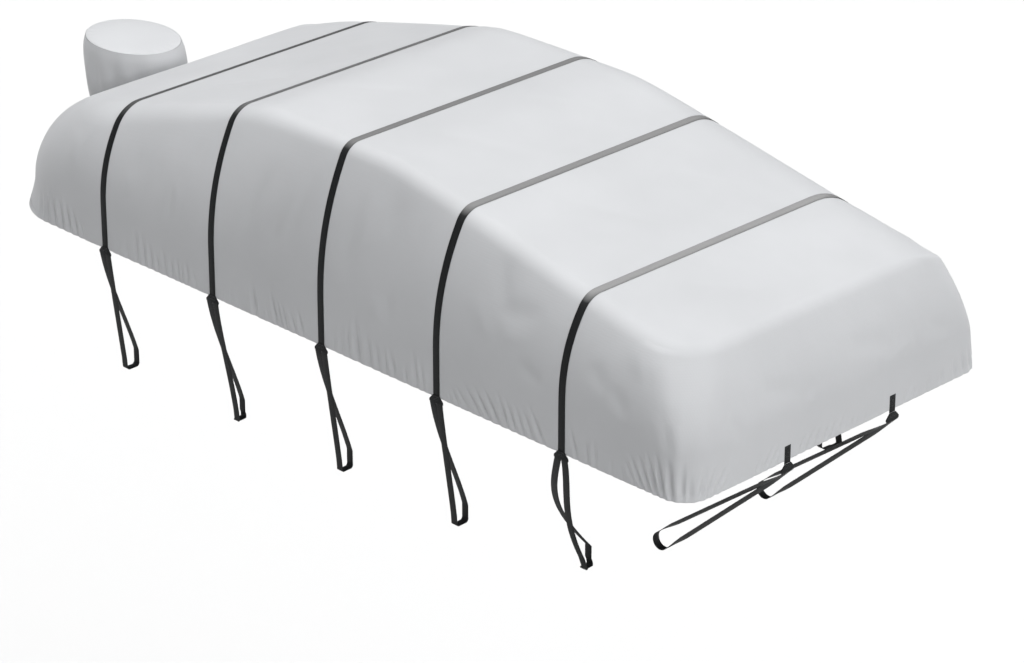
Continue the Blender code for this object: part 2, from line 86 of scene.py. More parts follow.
# ---- how finely the cloth is divided: the rings halve twice, so counts round the hem are fourfold --
STERN_TURN_STEPS = 44
BOW_TURN_STEPS = 16
STERN_BAY_STEPS = 64
BOW_BAY_STEPS = 88
BAY_STEPS = 112
STRAP_STEPS = 4
STERN_ACROSS = 192
BOW_ACROSS = 248
FINE_TOP = 0.34          # share of the wall's cloth that the finest rows cover
FINE_ROWS = 22
FINE_CROWD = 1.15        # power that crowds the finest rows towards the hem
MIDDLE_TOP = 0.60
MIDDLE_ROWS = 10
HIGH_ROWS = 12
SHOULDER_ROWS = 9
END_SHARE = 6            # the top's grid follows an end's curve over a sixth of its length
CASING = 0.030           # depth of the hem that the elastic runs in
CASING_RINGS = (0.4, 1.0)
CASING_GAP = 0.001
HEM_ROUND = 0.004        # radius of the hem's fold
HEM_TURNS = (45.0, 90.0, 135.0, 180.0)

# ---- webbing ----------------------------------------------------------------------------------
WEB = 0.050
WEB_THICK = 0.002
# section of webbing, as share of half width and of half thickness: woven edges are rounded
WEB_SECTION = [(-0.94, -1.0), (0.0, -1.0), (0.94, -1.0), (1.0, -0.35), (1.0, 0.35), (0.94, 1.0),
               (0.0, 1.0), (-0.94, 1.0), (-1.0, 0.35), (-1.0, -0.35)]
LIFT = 0.0006            # clearance of a strap off the cloth
STRAP_END = 0.010        # height of a strap's end over the hem
STRAP_RISE_STEPS = 40    # steps of a strap up a wall
STRAP_BEND_STEPS = 12    # round a shoulder
STRAP_TOP_STEPS = 40     # and over the top
KEEPER_WIDE = 0.106
KEEPER_CORNER = -0.022   # height where a keeper is first at its full width
KEEPER_FOOT = -0.036     # height of its lower edge
KEEPER_PLY = 0.0016
KEEPER_ROOM = 0.0028     # room between the plies for a tie's ends
KEEPER_GAP = 0.0004      # clearance off the cloth and below the strap's end
KEEPER_BACK = (0.985, 0.0004)    # the back face's share of the full size, and depth of its bevel
KEEPER_FACE = (0.975, 0.0006)    # the same of the front face
SLOT_PAST = 0.01         # how far the cut of the slot runs past the keeper's edges
SLOT_MIDDLE = 0.0034     # middle of the slot out from the cloth
TIE_TUCK = 0.014         # how far a tie's ends go up into the slot
TIE_STRAIGHT = 0.006     # how far they run straight below it
LEG_SPREAD = 0.0256      # half the distance between the two legs at the keeper
# front leg's foot (x, inboard), far leg's foot (x, inboard), bow aft, height of the foot
TIE_ROWS = [
    (-0.008, 0.12, -0.020, 0.22, 0.00, -0.846),
    (0.045, 0.12, -0.020, 0.22, 0.00, -0.846),
    (0.005, 0.12, -0.018, 0.22, 0.00, -0.849),
    (0.014, 0.12, -0.002, 0.22, 0.00, -0.847),
    (0.020, 0.17, -0.050, 0.27, 0.155, -0.779),
]
# bend of a leg near its top and near its foot: share of the bow aft, of the way in, of the height
FAR_HANDLES = ((0.6, 0.20, 0.35), (1.6, 0.75, 0.28))
FRONT_HANDLES = ((0.0, 0.22, 0.30), (0.9, 0.72, 0.35))
LOOP_HIGH = 0.10
LOOP_ROUND = 0.022
LEG_STEPS = 22
BEND_STEPS = 8
TAB_Y = 0.434            # a bow tab's distance from the centreline
TAB_HIGH = 0.085
TAB_STEPS = 14
BOW_KEEPER_DROP = 0.030
BOW_LOOP_AFT = 0.895
BOW_LOOP_UP = -0.824
BOW_LOOP_ROUND = 0.053
BOW_LOOP_STEPS = 24
UNDER_TILT = math.radians(42.7)  # slope of a bow tie's lower leg, and of its upper leg
OVER_TILT = math.radians(37.5)
BOW_TWIST = math.radians(27.0)   # how far a bow tie's legs turn on the way
TWIST_IN = (0.0, 0.2)            # shares of a leg over which it turns, and turns back
TWIST_OUT = (0.85, 1.0)

# ---- stitches ---------------------------------------------------------------------------------
STITCH_PITCH = 0.0062
STITCH_LONG = 0.0046
THREAD = 0.0011
# share of a stitch's length, share of its thickness there
STITCH_SHAPE = ((-0.5, 0.35), (-0.3, 1.0), (0.3, 1.0), (0.5, 0.35))
STITCH_PROUD = 0.2       # share of the thread's thickness that its middle stands off the webbing
STITCH_INSET = 0.005     # distance of a keeper's stitches from its edges
STITCH_OVER_FLARE = 0.004    # and from where it flares
TAB_STITCH_HALF = 0.019  # half width of the stitched box on a bow tab
TAB_STITCH_LOW = 0.020
TAB_STITCH_DROP = 0.006  # its distance below the tab's top

# ---- hood --------------------------------------------------------------------------------------
HOOD_X = -3.3602
HOOD_Y = 0.235
HOOD_TOP = 0.566
HOOD_LONG = 0.370        # half its length
HOOD_WIDE = 0.262        # half its width
HOOD_TIP = 0.012         # rise of its top per metre forward
HOOD_TILT = 0.038        # and per metre to port
HOOD_LEAN = 0.085        # how far it comes forward per metre down from its top
SEAM_AT = 0.99           # share of the height where the band meets the lid
# share of the height, size there
HOOD_BAND = [(0.0, 0.88), (0.20, 0.98), (0.40, 1.045), (0.62, 1.068), (0.78, 1.060), (0.90, 1.034),
             (SEAM_AT, 0.982)]
HOOD_FULL = 0.05         # how much fuller the hood is aft, where the photo shows it rounder
HOOD_FULL_TO = 1.15      # share of the height where that would end
HOOD_AROUND = 160
HOOD_ROWS = 56
# soft folds of the band: turn in degrees, half width in degrees, share of height where each is
# deepest, depth
HOOD_FOLDS = [(-46, 9, 0.66, 0.0080), (-60, 7, 0.60, -0.0070), (-74, 7, 0.66, 0.0110),
              (-88, 7, 0.58, -0.0080), (-101, 8, 0.62, 0.0100), (-116, 8, 0.55, -0.0070),
              (-136, 10, 0.55, 0.0070), (-20, 12, 0.60, 0.0060), (8, 10, 0.50, -0.0050),
              (60, 9, 0.45, 0.0060), (115, 11, 0.50, 0.0070), (165, 9, 0.40, -0.0050)]
FOLD_TALL = 0.22         # share of the height over which a fold or a gather fades
HOOD_GATHERS = 31.0      # gathers round the band's hem
HOOD_GATHER_DEEP = 0.004
# the band's hem, folded in: way in, height over its lowest ring
HOOD_HEM = [(0.0015, -0.0012), (0.004, -0.0016), (0.0065, 0.0), (0.007, 0.012), (0.007, 0.026)]
HOOD_HEM_UP = 0.0016
HOOD_SEAM = 0.0012       # how far the lid's edge stays inside the band's
HOOD_BEAD = 0.0022       # radius of the seam's cord
HOOD_BEAD_UP = 0.0005
BEAD_TURNS = (-40, 0, 40, 80, 120, 160)
LID_RINGS = 25
LID_OUTER = 0.98         # share of the edge's size that the outermost ring of the lid has
LID_SHRINK = 0.93        # and how much less the innermost has
LID_RISE = 0.0010
HOOD_CROWN = 0.012       # how far the lid is fuller in the middle
PUCKERS = 23.0           # puckers of the lid beside its seam
PUCKER_DEEP = 0.0010
PUCKER_REACH = 0.16

# ---- gathers over the elastic: place along the hem, height, half width, depth, slant ------------
# The place is X on a side and Y on the bow; the slant is how far the place shifts per metre up.
SIDE_GATHERS = [
    (-2.52, 0.20, 0.020, 0.0050, -0.05), (-2.455, 0.28, 0.018, 0.0060, -0.05),
    (-2.385, 0.30, 0.018, 0.0075, -0.10), (-2.31, 0.27, 0.016, 0.0070, -0.12),
    (-2.24, 0.24, 0.016, 0.0065, -0.15), (-2.17, 0.20, 0.015, 0.0060, -0.20),
    (-2.11, 0.13, 0.013, 0.0040, -0.25), (-1.79, 0.10, 0.012, 0.0025, -0.10),
    (-1.70, 0.15, 0.016, 0.0050, -0.10), (-1.61, 0.24, 0.018, 0.0060, -0.05),
    (-1.54, 0.24, 0.016, 0.0060, -0.08), (-1.48, 0.18, 0.018, 0.0065, -0.10),
    (-1.42, 0.14, 0.014, 0.0045, -0.10), (-1.355, 0.20, 0.015, 0.0055, -0.10),
    (-1.29, 0.16, 0.014, 0.0050, -0.12), (-1.235, 0.19, 0.012, 0.0045, -0.10),
    (-1.195, 0.16, 0.012, 0.0045, -0.10), (-1.15, 0.20, 0.015, 0.0050, -0.12),
    (-1.08, 0.15, 0.014, 0.0040, -0.20), (-0.84, 0.11, 0.012, 0.0030, -0.05),
    (-0.77, 0.12, 0.014, 0.0035, -0.08), (-0.70, 0.09, 0.012, 0.0025, -0.10),
    (-0.56, 0.24, 0.020, 0.0085, -0.16), (-0.445, 0.12, 0.013, 0.0030, -0.20),
    (-0.375, 0.25, 0.015, 0.0060, -0.26), (-0.33, 0.22, 0.011, 0.0045, -0.30),
    (-0.285, 0.17, 0.013, 0.0055, -0.35), (-0.215, 0.16, 0.013, 0.0050, -0.35),
    (-0.15, 0.19, 0.015, 0.0055, -0.32), (0.11, 0.10, 0.012, 0.0030, -0.05),
    (0.17, 0.22, 0.014, 0.0035, -0.05), (0.235, 0.26, 0.013, 0.0035, -0.05),
    (0.305, 0.33, 0.022, 0.0075, -0.06), (0.405, 0.24, 0.020, 0.0065, -0.10),
    (0.475, 0.20, 0.016, 0.0055, -0.12), (0.545, 0.19, 0.014, 0.0045, -0.15),
    (0.605, 0.20, 0.018, 0.0055, -0.20), (0.70, 0.12, 0.015, 0.0045, -0.10),
    (0.785, 0.26, 0.018, 0.0060, -0.15), (0.835, 0.22, 0.014, 0.0050, -0.12),
    (1.06, 0.09, 0.011, 0.0030, -0.40), (1.12, 0.12, 0.012, 0.0045, -0.60),
    (1.20, 0.14, 0.013, 0.0055, -0.90), (1.29, 0.19, 0.014, 0.0065, -0.85),
    (1.36, 0.21, 0.014, 0.0070, -0.75), (1.43, 0.21, 0.014, 0.0070, -0.65),
    (1.50, 0.23, 0.015, 0.0065, -0.45), (1.56, 0.20, 0.013, 0.0060, -0.45),
    (1.625, 0.20, 0.013, 0.0055, -0.45), (1.69, 0.18, 0.013, 0.0050, -0.50),
    (1.77, 0.24, 0.016, 0.0065, -0.55), (2.02, 0.24, 0.015, 0.0060, -0.30),
    (2.10, 0.15, 0.014, 0.0060, -0.10), (2.155, 0.19, 0.014, 0.0040, -0.05),
    (2.275, 0.11, 0.014, 0.0045, 0.0), (2.36, 0.08, 0.012, 0.0030, -0.10),
    (2.45, 0.16, 0.014, 0.0050, -0.60), (2.505, 0.20, 0.014, 0.0070, -0.55),
    (2.555, 0.22, 0.014, 0.0075, -0.45), (2.605, 0.26, 0.014, 0.0085, -0.32),
    (2.65, 0.30, 0.014, 0.0085, -0.22), (2.70, 0.30, 0.013, 0.0080, -0.12),
    (2.75, 0.27, 0.013, 0.0070, -0.05),
]
END_GATHERS = [
    (-1.17, 0.20, 0.013, 0.0055, 0.10), (-1.12, 0.22, 0.013, 0.0060, 0.25),
    (-1.07, 0.20, 0.013, 0.0060, 0.40), (-1.01, 0.17, 0.013, 0.0060, 0.60),
    (-0.95, 0.12, 0.013, 0.0040, 0.60), (-0.83, 0.07, 0.012, 0.0020, 0.40),
    (-0.70, 0.12, 0.012, 0.0035, 0.50), (-0.63, 0.15, 0.012, 0.0045, 0.60),
    (-0.58, 0.16, 0.012, 0.0050, 0.70), (-0.52, 0.12, 0.011, 0.0040, 0.60),
    (-0.34, 0.12, 0.015, 0.0050, 0.50), (-0.275, 0.13, 0.014, 0.0055, 0.50),
    (-0.21, 0.13, 0.014, 0.0055, 0.40), (-0.14, 0.11, 0.013, 0.0050, 0.45),
    (-0.08, 0.12, 0.013, 0.0045, 0.40), (-0.01, 0.13, 0.014, 0.0040, 0.35),
    (0.09, 0.09, 0.012, 0.0030, 0.30), (0.20, 0.07, 0.012, 0.0025, 0.30),
    (0.54, 0.13, 0.013, 0.0045, 0.30), (0.61, 0.10, 0.013, 0.0040, 0.30),
    (0.72, 0.10, 0.013, 0.0035, 0.20), (0.85, 0.12, 0.013, 0.0040, 0.0),
    (0.97, 0.16, 0.013, 0.0050, -0.10), (1.05, 0.18, 0.013, 0.0055, -0.20),
    (1.12, 0.20, 0.013, 0.0055, -0.30), (1.17, 0.20, 0.013, 0.0050, -0.20),
]
# soft creases of a side: from (x, up) to (x, up), half width, depth; a ridge where below zero
SIDE_CREASES = [
    (-2.34, 0.62, -2.28, 0.36, 0.055, 0.0040), (-2.20, 0.66, -2.16, 0.40, 0.050, -0.0035),
    (-1.68, 0.56, -1.70, 0.40, 0.035, -0.0035), (-1.60, 0.70, -1.63, 0.54, 0.030, 0.0035),
    (-1.41, 0.70, -1.43, 0.52, 0.030, 0.0035), (-1.29, 0.58, -1.32, 0.36, 0.035, 0.0040),
    (-1.24, 0.62, -1.26, 0.44, 0.030, -0.0030), (-1.13, 0.88, -1.15, 0.72, 0.026, 0.0030),
    (-0.50, 0.93, -0.69, 0.42, 0.050, 0.0070), (-0.41, 0.88, -0.58, 0.48, 0.045, -0.0045),
    (-0.14, 0.98, -0.29, 0.52, 0.034, 0.0050), (-0.21, 0.95, -0.35, 0.52, 0.036, -0.0040),
    (-0.38, 0.66, -0.42, 0.50, 0.028, 0.0035), (0.26, 0.96, 0.17, 0.50, 0.050, 0.0060),
    (0.35, 0.98, 0.27, 0.60, 0.045, -0.0045), (0.53, 1.02, 0.47, 0.80, 0.045, 0.0045),
    (0.57, 0.50, 0.53, 0.30, 0.045, 0.0050), (0.46, 0.46, 0.44, 0.32, 0.040, -0.0035),
    (1.30, 0.92, 1.44, 0.62, 0.050, 0.0050), (1.38, 0.64, 1.68, 0.72, 0.050, 0.0050),
    (1.42, 0.52, 1.64, 0.58, 0.045, -0.0040), (1.20, 0.70, 1.34, 0.46, 0.045, -0.0040),
    (1.56, 0.42, 1.76, 0.34, 0.045, 0.0045), (2.08, 0.58, 2.20, 0.46, 0.050, 0.0050),
    (2.24, 0.50, 2.38, 0.38, 0.050, 0.0055), (2.44, 0.60, 2.30, 0.72, 0.050, -0.0045),
    (2.60, 0.50, 2.70, 0.22, 0.028, 0.0060),
]
END_CREASES = [
    (-0.62, 0.46, -0.30, 0.36, 0.050, 0.0040), (-0.20, 0.40, -0.36, 0.28, 0.045, 0.0035),
    (0.10, 0.48, 0.44, 0.40, 0.050, 0.0040), (0.30, 0.30, 0.62, 0.36, 0.045, -0.0035),
    (-0.90, 0.40, -0.78, 0.24, 0.045, 0.0035), (0.72, 0.40, 0.96, 0.30, 0.045, 0.0035),
]
# soft dents of the top between the straps: from (x, y) to (x, y), half width, depth
TOP_CREASES = [
    (-1.72, -0.62, -1.12, -0.30, 0.060, 0.0030), (-1.60, 0.46, -1.16, 0.10, 0.060, 0.0025),
    (-0.72, -0.52, -0.24, -0.16, 0.055, 0.0025), (-0.60, 0.58, -0.18, 0.26, 0.060, 0.0025),
    (0.20, -0.60, 0.74, -0.28, 0.060, 0.0025), (0.16, 0.10, 0.64, 0.48, 0.060, 0.0025),
    (1.10, -0.50, 1.72, -0.12, 0.065, 0.0030), (1.16, 0.20, 1.66, 0.56, 0.060, 0.0025),
    (2.06, -0.56, 2.44, -0.10, 0.060, 0.0030), (2.10, 0.50, 2.40, 0.16, 0.055, 0.0025),
]
GATHER_WIDE = 1.45       # every gather of the tables is drawn this much wider
GATHER_DEEP = 1.75       # and deeper
GATHER_RIDGES = 1.4      # how strongly the cloth rises at both sides of a gather
GATHER_REACH = 3.2       # half widths after which it is gone
GATHER_AT_HEM = 0.35     # share of its depth that it has at the hem
GATHER_FULL = 0.06       # height where it has its whole depth
GATHER_HOLD = 0.2        # share of its own height up to which it keeps that
CREASE_DEEP = 1.8        # every crease of the tables is drawn this much deeper
CREASE_TAPER = 0.8       # power by which a crease thins towards its ends
WALL_FACING = 0.75       # the cloth of a wall faces up less than this
TOP_FACING = (0.80, 0.95)        # the cloth of the top faces up this much, partly and fully
RIDGE_FACING = -60.0     # way that the taut ridge up the starboard bow corner faces, in degrees
RIDGE_WIDE = 11.0        # half width of the ridge, also in degrees
RIDGE_HIGH = 0.012
RIDGE_NEAR = 0.6         # how far aft of the bow it may reach
RIDGE_STARTS = (0.10, 0.26)      # heights over which it rises out of the cloth
RIDGE_ENDS = (0.62, 0.86)        # and goes back into it
WAVES = 14               # long faint waves in all of the cloth
WAVE_STEPS = (3.0, 9.0)  # radians per metre
WAVE_PHASE = 6.3
WAVE_SIZES = (0.0002, 0.0006)
WAVE_CLIMB = 2.1
PILLOW = 0.0022          # how far the cloth stands up between the straps
PILLOW_REACH = 0.09
PORT_SHIFT = 0.04        # the port side repeats the starboard one, a little aft
SEED = 7

# ---- where webbing presses the cloth flat: distances over which that fades ----------------------
STRAP_PRESS = (0.004, 0.045)     # from a strap's edge
KEEPER_PRESS = 0.03              # from a keeper's edge
KEEPER_PRESS_UP = (0.03, 0.10)   # up from the hem
TAB_PRESS = 0.035                # from the edge of a bow tab's keeper
TAB_PRESS_UP = 0.08              # up from a bow tab's top
TAB_NEAR = 0.3                   # only this near the bow
TAB_NEAR_UP = 0.12               # and this far up from the tab's top

# ---- finishes -----------------------------------------------------------------------------------
GRAIN_PITCH = 0.012      # drawn distance of the cloth's bands
WAVE_TURNS = 20.0        # radians that a wave texture turns per unit at scale 1
RIB_PITCH = 0.004        # drawn distance of the webbing's ribs
WEFT_PITCH = 0.005       # and of the lines along it

# ---- studio -------------------------------------------------------------------------------------
FLOOR_HALF = 90.0
FLOOR_COLOUR = "#bebebe"
ROOM_COLOUR = "#f6f9ff"
# name, direction that the light comes from, strength, spread in degrees
SUNS = [
    ("overhead_aft", (-0.26, 0.0, 0.97), 2.14, 60.0),
    ("overhead_port", (-0.47, 0.17, 0.87), 1.94, 60.0),
    ("overhead_bow", (0.66, -0.24, 0.71), 1.62, 90.0),
    ("low_bow", (0.87, 0.0, 0.50), 1.80, 60.0),
    ("low_port", (0.16, 0.93, 0.34), 0.58, 60.0),
]
STRIP_AIM = (2.70, -1.16, -0.75)     # the starboard bow corner
STRIP_WAY = (0.33, -0.87, 0.36)      # from there to the strip light
STRIP_FAR = 16.0
STRIP_SIZE = (0.8, 11.0)
STRIP_POWER = 200.0
SPOT_UP = 0.40                       # height on the hood that its own lamp is aimed at
SPOT_WAY = (0.79, -0.50, 0.35)       # from there to the lamp
SPOT_FAR = 12.0
SPOT_CONE = 5.0                      # in degrees
SPOT_SOFT = 0.8
SPOT_POWER = 7000.0
CAMERA_AT = (15.070, -14.773, 8.436)
CAMERA_AHEAD = (-0.6398, 0.6398, -0.4258)
CAMERA_SENSOR = 36.0
CAMERA_REACH = 400.0


def linear(hex_colour):
    """Linear RGBA from an sRGB hex value."""
    parts = [int(hex_colour[i:i + 2], 16) / 255.0 for i in (1, 3, 5)]
    return tuple(p / 12.92 if p <= 0.04045 else ((p + 0.055) / 1.055) ** 2.4 for p in parts) + (1.0,)


# ---- shape of the cover ------------------------------------------------------------------------
def top_height(x):
    """Height of the cover's top at x, over the hem."""
    lines = (RIDGE, RIDGE + SLOPE_AFT * (x - RIDGE_AFT), RIDGE - SLOPE_FORE * (x - RIDGE_FORE))
    return -RIDGE_SOFT * math.log(sum(math.exp(-z / RIDGE_SOFT) for z in lines))


def mix(a, b, share):
    return a + (b - a) * share


def smooth(low, high, value):
    share = np.clip((value - low) / (high - low), 0.0, 1.0)
    return share * share * (3.0 - 2.0 * share)


def through(low, halfway, high, share):
    """Value at a share of a curve that has these three values at 0, 1/2 and 1."""
    return (low * (1.0 - share) * (1.0 - 2.0 * share) + halfway * 4.0 * share * (1.0 - share)
            + high * share * (2.0 * share - 1.0))


def side_row(x):
    """Lean, power and the two shoulder radii of the side walls at x."""
    if x <= SIDE_SECTIONS[0][0]:
        return SIDE_SECTIONS[0][1:]
    for low, high in zip(SIDE_SECTIONS, SIDE_SECTIONS[1:]):
        if x <= high[0]:
            share = (x - low[0]) / (high[0] - low[0])
            return tuple(mix(a, b, share) for a, b in zip(low[1:], high[1:]))
    return SIDE_SECTIONS[-1][1:]


def wall(edge_height, rise, lean, power, radius, t):
    """Inset and height on a wall: t from 0 to 1 up the cloth, 1 to 2 round the shoulder."""
    span = edge_height + rise * lean - UPRIGHT
    across = math.hypot(1.0, rise)
    meet = edge_height - radius
    for _ in range(SHOULDER_SOLVES):
        share = (meet - UPRIGHT) / span
        tilt = math.atan(lean * power * share ** (power - 1.0) / span)
        centre_in = lean * share ** power + radius * math.cos(tilt)
        centre_up = edge_height + rise * centre_in - radius * across
        meet = centre_up + radius * math.sin(tilt)
    if t <= 1.0:
        up = meet * t
        share = max(0.0, (up - UPRIGHT) / span)
        return lean * share ** power, up
    turn = mix(tilt, math.pi / 2.0 - math.atan(rise), t - 1.0)
    return centre_in - radius * math.cos(turn), centre_up + radius * math.sin(turn)


def side_wall(x, side, t):
    """Inset and height on a side wall at x, at level t."""
    lean, power, starboard, port = side_row(x)
    return wall(top_height(x), 0.0, lean, power, port if side > 0.0 else starboard, t)


def end_wall(end, t):
    """Inset and height on the wall of the stern or the bow, at level t."""
    hem_x, inboard, lean, power, radius = end[:5]
    edge = top_height(hem_x)
    rise = (top_height(hem_x + inboard * lean) - edge) / lean
    return wall(edge, rise, lean, power, radius, t)


def corner(end, side, t):
    """Centre (x, distance from the centreline) and radius of an upright corner, at level t."""
    hem_x, inboard = end[:2]
    end_in, _ = end_wall(end, t)
    radius = through(*end[5:], min(1.0, t))
    if t > 1.0:
        radius -= end_in - end_wall(end, 1.0)[0]
    x = hem_x + inboard * (end_in + radius)
    side_in, _ = side_wall(x, side, t)
    return x, HALF_BEAM - side_in - radius, radius


def corner_height(end, side, turn, t):
    """Share of the top's height that level t has at a turn round a corner."""
    x, _, _ = corner(end, side, t)
    _, side_up = side_wall(x, side, t)
    end_in, end_up = end_wall(end, t)
    end_top = top_height(end[0] + end[1] * end_in)
    return mix(side_up / top_height(x), end_up / end_top, math.sin(turn) ** 2)


def cover_point(place, side, t):
    """Point on the outside of the cover at level t; side is -1 for starboard, 1 for port."""
    kind = place[0]
    if kind in ("end", "corner"):
        end = place[1]
        turn = place[2] if kind == "corner" else math.pi / 2.0
        reach = place[2] if kind == "end" else 1.0
        x, out, radius = corner(end, side, t)
        x -= end[1] * radius * math.sin(turn)
        out = reach * (out + radius * math.cos(turn))
        return x, side * out, top_height(x) * corner_height(end, side, turn, t)
    x = place[1]
    if kind == "bay":
        end, share = place[1:]
        last = STRAP_X[0] - WEB / 2.0 if end is STERN else STRAP_X[-1] + WEB / 2.0
        x = mix(last, corner(end, side, t)[0], share)
    inset, up = side_wall(x, side, t)
    return x, side * (HALF_BEAM - inset), up


def side_places():
    """Places along a side, from the middle of its stern corner to the middle of its bow corner."""
    quarter = math.pi / 4.0
    places = [("corner", STERN, quarter * (1.0 - i / STERN_TURN_STEPS))
              for i in range(STERN_TURN_STEPS + 1)]
    places += [("bay", STERN, 1.0 - i / STERN_BAY_STEPS) for i in range(1, STERN_BAY_STEPS)]
    for number, strap_x in enumerate(STRAP_X):
        aft = strap_x - WEB / 2.0
        places += [("side", aft + WEB * i / STRAP_STEPS) for i in range(STRAP_STEPS + 1)]
        if number + 1 < len(STRAP_X):
            bay = STRAP_X[number + 1] - strap_x - WEB
            places += [("side", aft + WEB + bay * i / BAY_STEPS) for i in range(1, BAY_STEPS)]
    places += [("bay", BOW, i / BOW_BAY_STEPS) for i in range(1, BOW_BAY_STEPS)]
    places += [("corner", BOW, quarter * i / BOW_TURN_STEPS) for i in range(BOW_TURN_STEPS + 1)]
    return places


def end_places(end, turn_steps, across_steps):
    """Places across an end between its corners' middles, starboard to port, as (place, side)."""
    quarter = math.pi / 4.0
    half = [("corner", end, quarter * (1.0 + i / turn_steps)) for i in range(1, turn_steps)]
    half += [("end", end, 1.0 - 2.0 * i / across_steps) for i in range(across_steps // 2)]
    return ([(place, -1.0) for place in half] + [(("end", end, 0.0), 1.0)]
            + [(place, 1.0) for place in reversed(half)])


def ring_faces(rings, around):
    return [(a * around + i, a * around + (i + 1) % around,
             (a + 1) * around + (i + 1) % around, (a + 1) * around + i)
            for a in range(rings - 1) for i in range(around)]


def cover_mesh():
    """Points, faces and each point's hem place: rings up the wall, closed by a grid on the top."""
    along = side_places()
    bow = end_places(BOW, BOW_TURN_STEPS, BOW_ACROSS)
    stern = end_places(STERN, STERN_TURN_STEPS, STERN_ACROSS)
    ring = ([(place, -1.0) for place in along] + bow
            + [(place, 1.0) for place in reversed(along)] + stern[::-1])
    fine = [FINE_TOP * (i / FINE_ROWS) ** FINE_CROWD for i in range(FINE_ROWS + 1)]
    middle = [mix(FINE_TOP, MIDDLE_TOP, i / MIDDLE_ROWS) for i in range(1, MIDDLE_ROWS + 1)]
    high = [mix(MIDDLE_TOP, 1.0, i / HIGH_ROWS) for i in range(1, HIGH_ROWS + 1)]
    high += [1.0 + i / SHOULDER_ROWS for i in range(1, SHOULDER_ROWS + 1)]
    points, faces = [], []
    for step, levels in ((1, fine), (2, middle), (4, high)):
        some = ring[::step]
        first, count = len(points), len(some)
        points += [cover_point(place, side, t) for t in levels for place, side in some]
        if step > 1:
            last = first - 2 * count
            for i in range(count):
                j = (i + 1) % count
                a, b, c = last + 2 * i, last + 2 * i + 1, last + (2 * i + 2) % (2 * count)
                faces += [(a, b, first + i), (b, first + j, first + i), (b, c, first + j)]
        faces += [tuple(first + v for v in face) for face in ring_faces(len(levels), count)]
    columns = len(along[::4])
    rows = (len(bow) + 1) // 4 + 1
    rim = len(points) - count
    grid = {}
    for i in range(columns):
        grid[i, 0] = rim + i
        grid[i, rows - 1] = rim + columns - 1 + rows - 1 + columns - 1 - i
    for j in range(1, rows - 1):
        grid[columns - 1, j] = rim + columns - 1 + j
        grid[0, j] = rim + (count - j) % count
    end_columns = columns // END_SHARE
    for j in range(1, rows - 1):
        ends = []
        for i in (0, columns - 1):
            edge = [points[grid[i, row]] for row in (0, j, rows - 1)]
            share = (edge[1][1] - edge[0][1]) / (edge[2][1] - edge[0][1])
            ends.append((share, edge[1][0] - mix(edge[0][0], edge[2][0], share)))
        for i in range(1, columns - 1):
            starboard, port = points[grid[i, 0]], points[grid[i, rows - 1]]
            share = mix(ends[0][0], ends[1][0], i / (columns - 1))
            x = mix(starboard[0], port[0], share)
            x += ends[0][1] * max(0.0, 1.0 - i / end_columns)
            x += ends[1][1] * max(0.0, 1.0 - (columns - 1 - i) / end_columns)
            grid[i, j] = len(points)
            points.append((x, mix(starboard[1], port[1], share), top_height(x)))
    faces += [(grid[i, j], grid[i + 1, j], grid[i + 1, j + 1], grid[i, j + 1])
              for i in range(columns - 1) for j in range(rows - 1)]
    return np.array(points), faces, len(ring)


def point_normals(points, faces):
    """Mean outward direction at each point."""
    normals = np.zeros_like(points)
    for size in (3, 4):
        some = np.array([f for f in faces if len(f) == size])
        if len(some):
            a, b, c = points[some[:, 0]], points[some[:, 1]], points[some[:, 2]]
            if size == 4:
                across = np.cross(points[some[:, 2]] - a, points[some[:, 3]] - b)
            else:
                across = np.cross(b - a, c - a)
            for k in range(size):
                np.add.at(normals, some[:, k], across)
    return normals / np.maximum(np.linalg.norm(normals, axis=1), 1e-12)[:, None]


def on_sides(points):
    """Whether each point belongs to a side wall rather than to an end, by which is nearer."""
    to_side = HALF_BEAM - np.abs(points[:, 1])
    to_end = np.minimum(BOW_X - points[:, 0], points[:, 0] - STERN_X)
    return to_side < to_end


def away_from_webbing(points):
    """0 where webbing presses the cloth flat, 1 well away from it."""
    x, y, up = points.T
    free = np.ones(len(points))
    for strap_x in STRAP_X:
        near = np.abs(x - strap_x)
        free *= smooth(WEB / 2.0 + STRAP_PRESS[0], WEB / 2.0 + STRAP_PRESS[1], near)
        low = 1.0 - smooth(*KEEPER_PRESS_UP, up)
        free *= 1.0 - low * (1.0 - smooth(KEEPER_WIDE / 2.0, KEEPER_WIDE / 2.0 + KEEPER_PRESS, near))
    at_bow = (x > BOW_X - TAB_NEAR) & (up < TAB_HIGH + TAB_NEAR_UP)
    for side in SIDES.values():
        near = np.abs(y - side * TAB_Y)
        flat = 1.0 - smooth(KEEPER_WIDE / 2.0, KEEPER_WIDE / 2.0 + TAB_PRESS, near)
        low = 1.0 - smooth(TAB_HIGH, TAB_HIGH + TAB_PRESS_UP, up)
        free *= np.where(at_bow, 1.0 - flat * low, 1.0)
    return free


def gathers(table, run, up):
    """Troughs that rise from the hem, each between two low ridges, and fade with height."""
    moved = np.zeros(len(run))
    for place, tall, half, deep, slant in table:
        off = (run - place - slant * up) / (GATHER_WIDE * half)
        near = (np.abs(off) < GATHER_REACH) & (up < tall)
        shape = (1.0 - GATHER_RIDGES * off[near] ** 2) * np.exp(-off[near] ** 2)
        grown = mix(GATHER_AT_HEM, 1.0, smooth(0.0, GATHER_FULL, up[near]))
        fade = 1.0 - smooth(GATHER_HOLD * tall, tall, up[near])
        moved[near] -= GATHER_DEEP * deep * shape * grown * fade
    return moved


